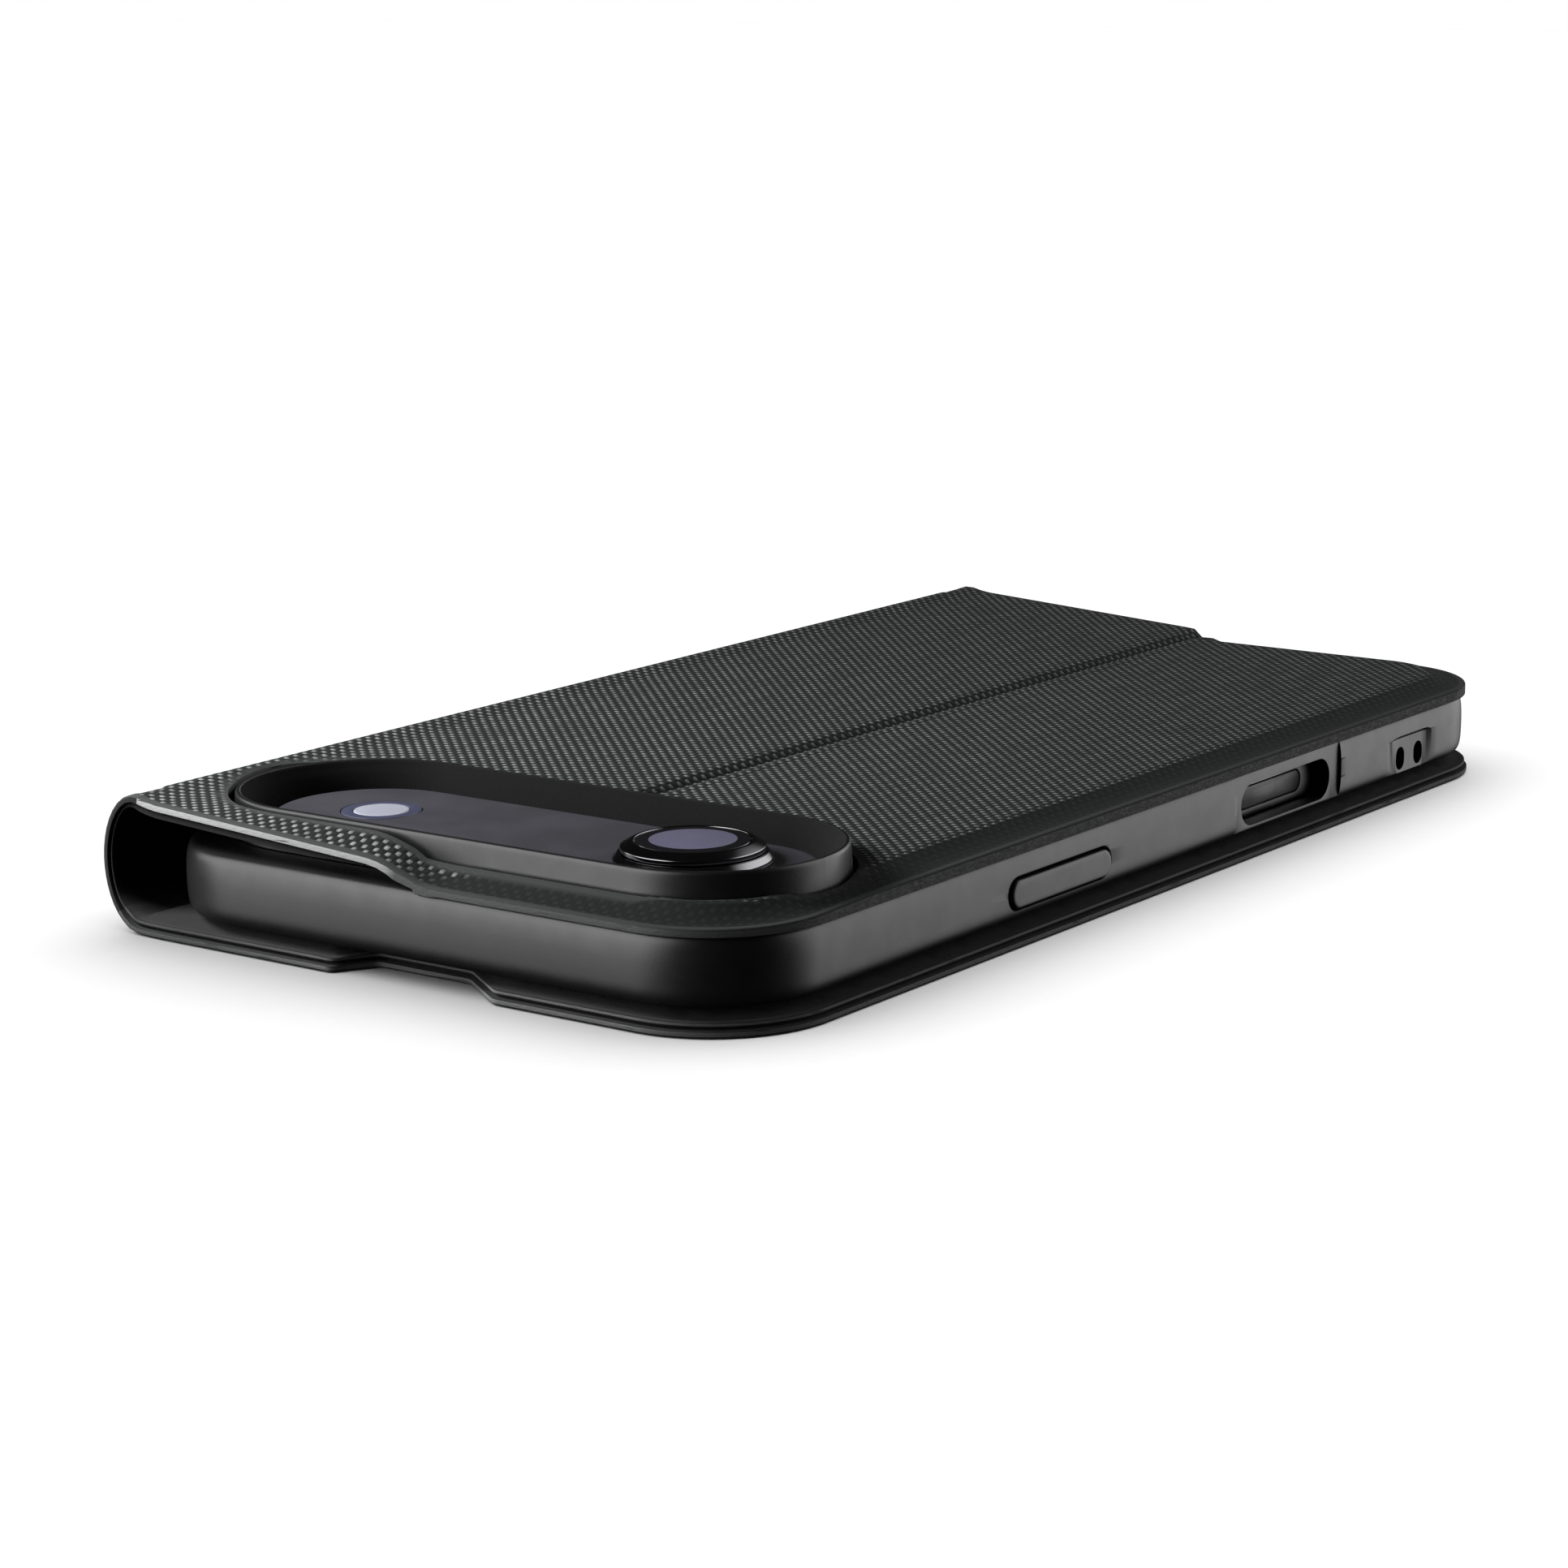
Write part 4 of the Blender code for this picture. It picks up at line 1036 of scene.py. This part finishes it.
def over_board(node, x, y):
    """1 over a hidden board, 0 clear of it."""
    low, high = cad(node)
    across = smoothstep(low.x - 1.2, low.x - 0.3, x) * (1 - smoothstep(high.x + 0.3, high.x + 1.2, x))
    return across * smoothstep(low.y - 1.2, low.y - 0.3, y) * (1 - smoothstep(high.y + 0.1, high.y + 0.8, y))


def edge_distance(s, y, line):
    return distance_to(np.stack([s, y], 1), line)


def eased(values, s):
    """A value for the panel, the spine and the flap, easing from each to the next."""
    first, second, third = values
    value = first + (second - first) * smoothstep(PANEL_SEAM - 0.5, PANEL_SEAM + 3.0, s)
    return value + (third - second) * smoothstep(GUTTER_SEAM - 2.0, GUTTER_SEAM + 1.5, s)


def layer_depth(layer, side, free_line=None, flap_edge=None):
    """Depth of a layer's outer (0) or inner (1) face anywhere on the cover."""
    depths = SKIN_DEPTHS if layer == "skin" else LINING_DEPTHS
    board_depth = BOARD_DEPTH[layer][side]

    def depth(s, y):
        x = SECTION.x_at(s)
        on_back = s < PANEL_SEAM
        value = eased([pair[side] for pair in depths], s)
        value = value + np.where(on_back, board_depth * over_board("back_board_free", x, y), 0.0)
        if layer == "lining" and side == 1:
            taper = smoothstep(LINING_START - 9.0, LINING_START, x)
            value = value - np.where(on_back, 0.55 * taper, 0.0)
        if flap_edge and layer == "lining":
            low = cad("flap_board")[0].x
            inward = smoothstep(0.9, 1.8, edge_distance(s, y, flap_edge))
            value = value + FLAP_BOARD_DEPTH * inward * smoothstep(low - 1.2, low - 0.3, x)
        if free_line:
            value = value + border_drop(s, y, free_line)
            if layer == "skin" and side == 0:
                value = value - ring_rise(x, y)
            if layer == "skin" and side == 1:
                glued = held_down(x, y)
                skirt = 0.45 * (1 - smoothstep(0.1, 1.0, edge_distance(s, y, free_line))) * glued
                deepest = PLATEAU_Z - TRAY_TOP - 0.06 + 3 * (1 - glued)
                value = np.where(glued > 0, np.minimum(value, deepest) + skirt, value)
        return value

    return depth


def both_faces(layer, **lines):
    return [layer_depth(layer, side, **lines) for side in (0, 1)]


def back_line():
    """The back cover's free edge in (s, y), from its far seam round to its near one."""
    outline = rounded_outline((-200.0, -COVER_END), (COVER_EDGE, COVER_END),
                              [1, COVER_CORNER, COVER_CORNER, 1], steps=28)
    corners = [point for point in outline if point[0] > 0]
    line = spaced([(-39.0, -COVER_END)] + corners + [(-39.0, COVER_END)], POINT_STEP)
    line = [(SECTION.at_back(x), y) for x, y in line]
    line[0], line[-1] = (PANEL_SEAM, -COVER_END), (PANEL_SEAM, COVER_END)
    return list(reversed(line))


def free_lining_line(start):
    """The free panel's lining: its edge from the far seam, along the crease, to the near one."""
    half = COVER_END - LINING_INSET
    return spaced([(PANEL_SEAM, half), (start, half), (start, -half), (PANEL_SEAM, -half)], POINT_STEP)


def camera_hole(clearance):
    """The cut-out round the guard ring in (s, y), clockwise."""
    outline = spaced(slot_outline(RING_SIZE, -clearance), POINT_STEP, True)
    return [(SECTION.at_back(x), y) for x, y in reversed(outline)]


def rounded_line(corners, radius=0.7, steps=5):
    """An open line whose inner corners are rounded."""
    corners = [Vector(corner) for corner in corners]
    line = [tuple(corners[0])]
    for before, here, after in zip(corners, corners[1:], corners[2:]):
        line += rounded_corner(before, here, after, radius, steps)
    return line + [tuple(corners[-1])]


def flap_line(inset):
    """The flap's free edge in (s, y), from its near seam round the earpiece notch to its far one."""
    reach, half, edge = COVER_END - inset, FLAP_END - inset, FLAP_EDGE - inset
    corner = rounded_outline((-200.0, -half), (edge, half), [1] + [COVER_CORNER - inset] * 2 + [1], steps=28)
    corner = [point for point in corner if point[0] > 12]
    notch = rounded_line([(-20.0, -half)] + [(x, depth - half) for x, depth in NOTCH] + [(13.0, -half)])
    line = [(-36.0, -half)] + notch + corner + [(-36.0, half)]
    line = [(SECTION.at_flap(x), y) for x, y in line]
    seam = [(GUTTER_SEAM, -reach), (GUTTER_SEAM + 1.0, -reach)]
    return spaced(seam + line + [(s, -y) for s, y in reversed(seam)], POINT_STEP)


def strip_lines(start, end, half):
    """Near and far edges of a plain strip, with the strip on their left."""
    near, far = [(start, -half), (end, -half)], [(end, half), (start, half)]
    return [spaced(near, 1.2), spaced(far, 1.2)]


def grid_steps(start, end, fine):
    """Places between start and end, close together inside the fine range."""
    places, s = [], start + 1.2
    while s < end - 0.25:
        places.append(s)
        s += FINE_STEP if fine[0] < s < fine[1] else POINT_STEP
    return np.array(places)


def back_marks(free_line):
    """The glued half's pressed border, whose weave is also darkened as painted shade, and the pale cut edge
    of the free panel.
    """
    def marks(s, y):
        x = SECTION.x_at(s)
        beside = 1 - smoothstep(-COVER_END + 6.1, -COVER_END + 9.1, y)
        width = BORDER + beside * (4.8 * smoothstep(0.0, 16.0, x) - 1.6)
        inside = smoothstep(width - 0.35, width + 0.1, edge_distance(s, y, free_line))
        # the border mask marks a real pressed border and also carries painted shade; its width changes beside
        # the guard ring
        return {"pressed": held_down(x, y) * (1 - inside),
                "pale": (1 - smoothstep(-4.6, -3.2, x)) * (y < 0)}
    return marks


def finish_sheet(sheet, area, bodies, zone, slot_name, nodes, size):
    """Rides a sheet of the cover on its first body, or bakes it in place when it has a zone, and hides the
    CAD nodes it stands for.
    """
    if zone:
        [place(x, 0, z) for x, z in zone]
        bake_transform(sheet)
    else:
        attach(sheet, bodies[0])
    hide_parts(*nodes)
    flat = [max(side, 10.0) * MM for side in size]


def make_back():
    """The back cover's skin in one piece over the crease, and the free panel's lining."""
    line = back_line()
    fine = (SECTION.at_back(1.6), SECTION.at_back(-6.0))
    y_grid = np.arange(-COVER_END + 1.1, COVER_END, POINT_STEP)
    cloth = Cloth([line], [camera_hole(HOLE_CLEARANCE)], [(PANEL_SEAM, COVER_END)],
                  EDGE_STEPS + BORDER_STEPS)
    skin = cloth.build("back_cover_skin", grid_steps(0.0, PANEL_SEAM, fine), y_grid,
                       *both_faces("skin", free_line=line), [WOVEN, CUT_EDGE, LINING], back_marks(line))
    finish_sheet(skin, cloth.area, ("tray", "free_panel"), CREASE_ZONE, "woven_skin",
                 ["back_skin_fixed", "back_skin_free"],
                 (PANEL_SEAM, 2 * COVER_END))
    start, half = SECTION.at_back(LINING_START), COVER_END - LINING_INSET
    cloth = Cloth([free_lining_line(start)], [camera_hole(HOLE_CLEARANCE + 0.3)], [(PANEL_SEAM, half)])
    lining = cloth.build("free_panel_lining", grid_steps(start, PANEL_SEAM, (0.0, 0.0)), y_grid,
                         *both_faces("lining", free_line=line), [LINING] * 3)
    finish_sheet(lining, cloth.area, ("free_panel",), None, "cover_lining", ["back_lining_free"],
                 (PANEL_SEAM - start, 2 * half))


def make_bend(part, start, end, bodies, zone):
    """The skin and lining of the spine or the gutter."""
    for layer, inset, top, slot_name in LAYERS:
        half = COVER_END - inset
        cloth = Cloth(strip_lines(start, end, half), [], [(start, half), (end, half)])
        steps = np.linspace(start, end, round((end - start) / FINE_STEP) + 1)[1:-1]
        sheet = cloth.build(f"{part}_cover_{layer}", steps, cloth_rows(half), *both_faces(layer),
                            [top, LINING, LINING])
        finish_sheet(sheet, cloth.area, bodies, zone, slot_name, [f"{part}_{layer}"],
                     (end - start, 2 * half))


def make_flap():
    """The flap's skin and lining, with the board and magnets between them."""
    fine = (GUTTER_SEAM, SECTION.at_flap(-36.5))
    for layer, inset, top, slot_name in LAYERS:
        reach, line = COVER_END - inset, flap_line(inset)
        cloth = Cloth([line], [], [(GUTTER_SEAM, reach)])
        ends = np.linspace(reach - 4.8, reach - 1.8, 3)
        y_grid = np.concatenate([-ends[::-1], cloth_rows(reach), ends])
        sheet = cloth.build(f"flap_cover_{layer}", grid_steps(GUTTER_SEAM - 0.9, FLAP_STOP, fine), y_grid,
                            *both_faces(layer, flap_edge=line), [top, CUT_EDGE, LINING],
                            lambda s, y: {"pale": 0.4 * smoothstep(-34.0, 0.0, SECTION.x_at(s))})
        finish_sheet(sheet, cloth.area, ("gutter", "flap"), FLAP_ZONE, slot_name, [f"flap_{layer}"],
                     (FLAP_STOP - GUTTER_SEAM, 2 * FLAP_END))


def make_stitches(name, line, height, body):
    """A run of thread stitches along a line on the flap, each a low arch dipping at both ends."""
    shape = bmesh.new()
    for (x0, y0), (x1, y1) in zip(line, line[1:]):
        span = Vector((x1 - x0, y1 - y0, 0))
        side = Vector((-span.y, span.x, 0)).normalized()
        rings = []
        for step in range(7):
            arch = math.sin(math.pi * step / 6)
            middle = Vector((x0, y0, height + 0.16 * arch - 0.14)) + span * (0.12 + 0.76 * step / 6)
            radius = 0.13 * (0.55 + 0.45 * arch)
            ring = []
            for turn in range(8):
                angle = 2 * math.pi * turn / 8
                rise = Vector((0, 0, radius * math.sin(angle)))
                ring.append(shape.verts.new(middle + side * radius * math.cos(angle) + rise))
            rings.append(ring)
        join_rings(shape, rings)
        close_ends(shape, rings)
    adopt(add_object(name, shape, [THREAD]), body, "cover_lining")


def make_card_pocket():
    """The card pocket's panel, with a folded edge, a thumb notch and stitching on three sides."""
    low, high = cad("card_pocket")
    notch = [(2.6, -7.6), (5.0, -3.6), (5.0, 3.6), (2.6, 7.6)]
    notch = [(high.x, -9.0)] + [(high.x - depth, y) for depth, y in notch] + [(high.x, 9.0)]
    edge = [(high.x, low.y + 2)] + through(notch, 5) + [(high.x, high.y - 2)]
    corners = rounded_outline((low.x, low.y), (high.x, high.y), [2.0] * 4, steps=8)
    outline = corners[:18] + edge + corners[18:]
    outline = [point for i, point in enumerate(outline) if math.dist(point, outline[i - 1]) > 0.02]
    levels = [(0.08, low.z), (0.0, low.z + 0.08), (0.0, high.z - 0.14), (0.05, high.z - 0.05), (0.18, high.z)]
    sections = [(shifted(outline, inset, True), level) for inset, level in levels]
    adopt(loft("card_pocket_panel", sections, [LINING]), "flap", "cover_lining", "card_pocket")
    run = [(high.x - 1.0, low.y + 1.3), (low.x + 1.3, low.y + 1.3),
           (low.x + 1.3, high.y - 1.3), (high.x - 1.0, high.y - 1.3)]
    for index, ends in enumerate(zip(run, run[1:])):
        make_stitches(f"pocket_stitching_{index + 1}", spaced(ends, 2.6), high.z, "flap")


def make_cover():
    make_back()
    make_bend("spine", PANEL_SEAM, SPINE_SEAM, ("free_panel", "spine"), TOP_ZONE)
    make_bend("gutter", SPINE_SEAM, GUTTER_SEAM, ("spine", "gutter"), LOW_ZONE)
    make_flap()
    make_card_pocket()
    for node in ("back_board_fixed", "back_board_free", "flap_board"):
        finish_node(node, BOARD)
    for node in ("flap_magnet_near", "flap_magnet_far"):
        finish_node(node, MAGNET)


# ---- studio

CAMERA_ANGLES = (36.227, 12.293)
CAMERA_ROLL = -0.543
CAMERA_TARGET = Vector((-0.00685, -0.00596, 0.00667))
CAMERA_DISTANCE = 0.4585
CAMERA_LENS = 90.84


def towards(azimuth, elevation):
    """Direction at an azimuth from -Y towards +X and an elevation, both in degrees."""
    turn, tilt = math.radians(azimuth), math.radians(elevation)
    return Vector((math.sin(turn) * math.cos(tilt), -math.cos(turn) * math.cos(tilt), math.sin(tilt)))


def make_camera():
    back = towards(*CAMERA_ANGLES)
    turn = back.to_track_quat("Z", "Y").to_matrix() @ Matrix.Rotation(math.radians(CAMERA_ROLL), 3, "Z")
    lens = bpy.data.cameras.new("camera")
    lens.sensor_width = 36.0
    lens.lens = CAMERA_LENS
    lens.clip_start = 0.01
    lens.clip_end = 50.0
    camera = in_scene("camera", lens)
    camera.matrix_world = Matrix.Translation(CAMERA_TARGET + back * CAMERA_DISTANCE) @ turn.to_4x4()
    bpy.context.scene.camera = camera


def make_floor():
    shape = bmesh.new()
    bmesh.ops.create_grid(shape, x_segments=1, y_segments=1, size=3.0)
    mesh = bpy.data.meshes.new("floor")
    shape.to_mesh(mesh)
    shape.free()
    paint = Paint("floor_paper", 0.85)
    grain = paint.noise(paint.where(), 0.4)
    paint.set(Base_Color=paint.mix(grain, (0.31, 0.31, 0.31), (0.32, 0.32, 0.32)))
    mesh.materials.append(paint.material)
    floor = in_scene("floor", mesh)
    floor.location.z = -0.0001
    floor.visible_glossy = False
    floor.visible_diffuse = False
    floor.visible_shadow = False
    return floor


# Soft boxes in the surroundings: azimuth from -Y towards +X, elevation, half width, softness, brightness
SOFT_BOXES = (
    (-36, 17, 17, 25, 4.2),
    (150, 14, 18, 30, 2.05),
    (-84, 12, 5, 9, 2.6),
)
AMBIENT = 0.012
BACKDROP = 1.0
KEY_SPOT = Vector((-0.095, -0.12, 0.1))
KEY_SIZE = 0.06
FLOOR_POWER = 8.6
FLOOR_LIGHT_WIDTH = 120
KEY_POWER = 1.1


def softbox_glow(tree, direction):
    """Brightness of the surroundings in a direction: the soft boxes over a faint ambient."""
    total = AMBIENT
    for azimuth, elevation, width, softness, brightness in SOFT_BOXES:
        aim = add_node(tree, "VectorMath", {0: direction, 1: towards(azimuth, elevation)},
                       operation="DOT_PRODUCT")["Value"]
        values = {"Value": aim, "From Min": math.cos(math.radians(width + softness)),
                  "From Max": math.cos(math.radians(width)), "To Max": brightness}
        box = add_node(tree, "MapRange", values, interpolation_type="SMOOTHSTEP")[0]
        total = add_node(tree, "Math", {0: box, 1: total}, operation="ADD")[0]
    return total


def make_light():
    """Soft boxes in a dark studio, in front of a white backdrop."""
    world = bpy.data.worlds.new("studio")
    bpy.context.scene.world = world
    world.use_nodes = True
    tree = world.node_tree
    tree.nodes.clear()
    glow = softbox_glow(tree, add_node(tree, "TexCoord")["Generated"])
    lit, backdrop = (add_node(tree, "Background", {"Color": (1, 1, 1, 1), "Strength": strength})[0]
                     for strength in (glow, BACKDROP))
    seen = add_node(tree, "LightPath")["Is Camera Ray"]
    shader = add_node(tree, "MixShader", {0: seen, 1: lit, 2: backdrop})[0]
    add_node(tree, "OutputWorld", {"Surface": shader})
    bpy.context.scene.view_settings.view_transform = "Standard"


def add_lamp(name, kind, energy, floor, link_state):
    """A lamp that lights the floor only (INCLUDE), or all but the floor (EXCLUDE)."""
    lamp = bpy.data.lights.new(name, kind)
    lamp.energy = energy
    light = in_scene(name, lamp)
    linked = bpy.data.collections.new(name + "_receivers")
    linked.objects.link(floor)
    linked.collection_objects[0].light_linking.link_state = link_state
    light.light_linking.receiver_collection = linked
    return light


def make_floor_light(floor):
    """A very wide overhead light that whitens the floor and leaves the object to its soft boxes."""
    light = add_lamp("floor_light", "SUN", FLOOR_POWER, floor, "INCLUDE")
    light.data.angle = math.radians(FLOOR_LIGHT_WIDTH)
    light.rotation_euler = (math.radians(-16), 0.0, math.radians(36))


def make_key_light(floor):
    """A small soft lamp over the near left corner, whose light falls off across the cover."""
    light = add_lamp("key_light", "AREA", KEY_POWER, floor, "EXCLUDE")
    light.data.size = KEY_SIZE
    light.visible_glossy = False
    turn = KEY_SPOT.to_track_quat("Z", "Y").to_matrix()
    light.matrix_world = Matrix.Translation(KEY_SPOT) @ turn.to_4x4()


make_camera()
make_light()
FLOOR = make_floor()
make_floor_light(FLOOR)
make_key_light(FLOOR)
make_tray()
make_ring()
make_pads()
make_phone()
make_camera_bar()
make_lens_and_flash()
make_cover()
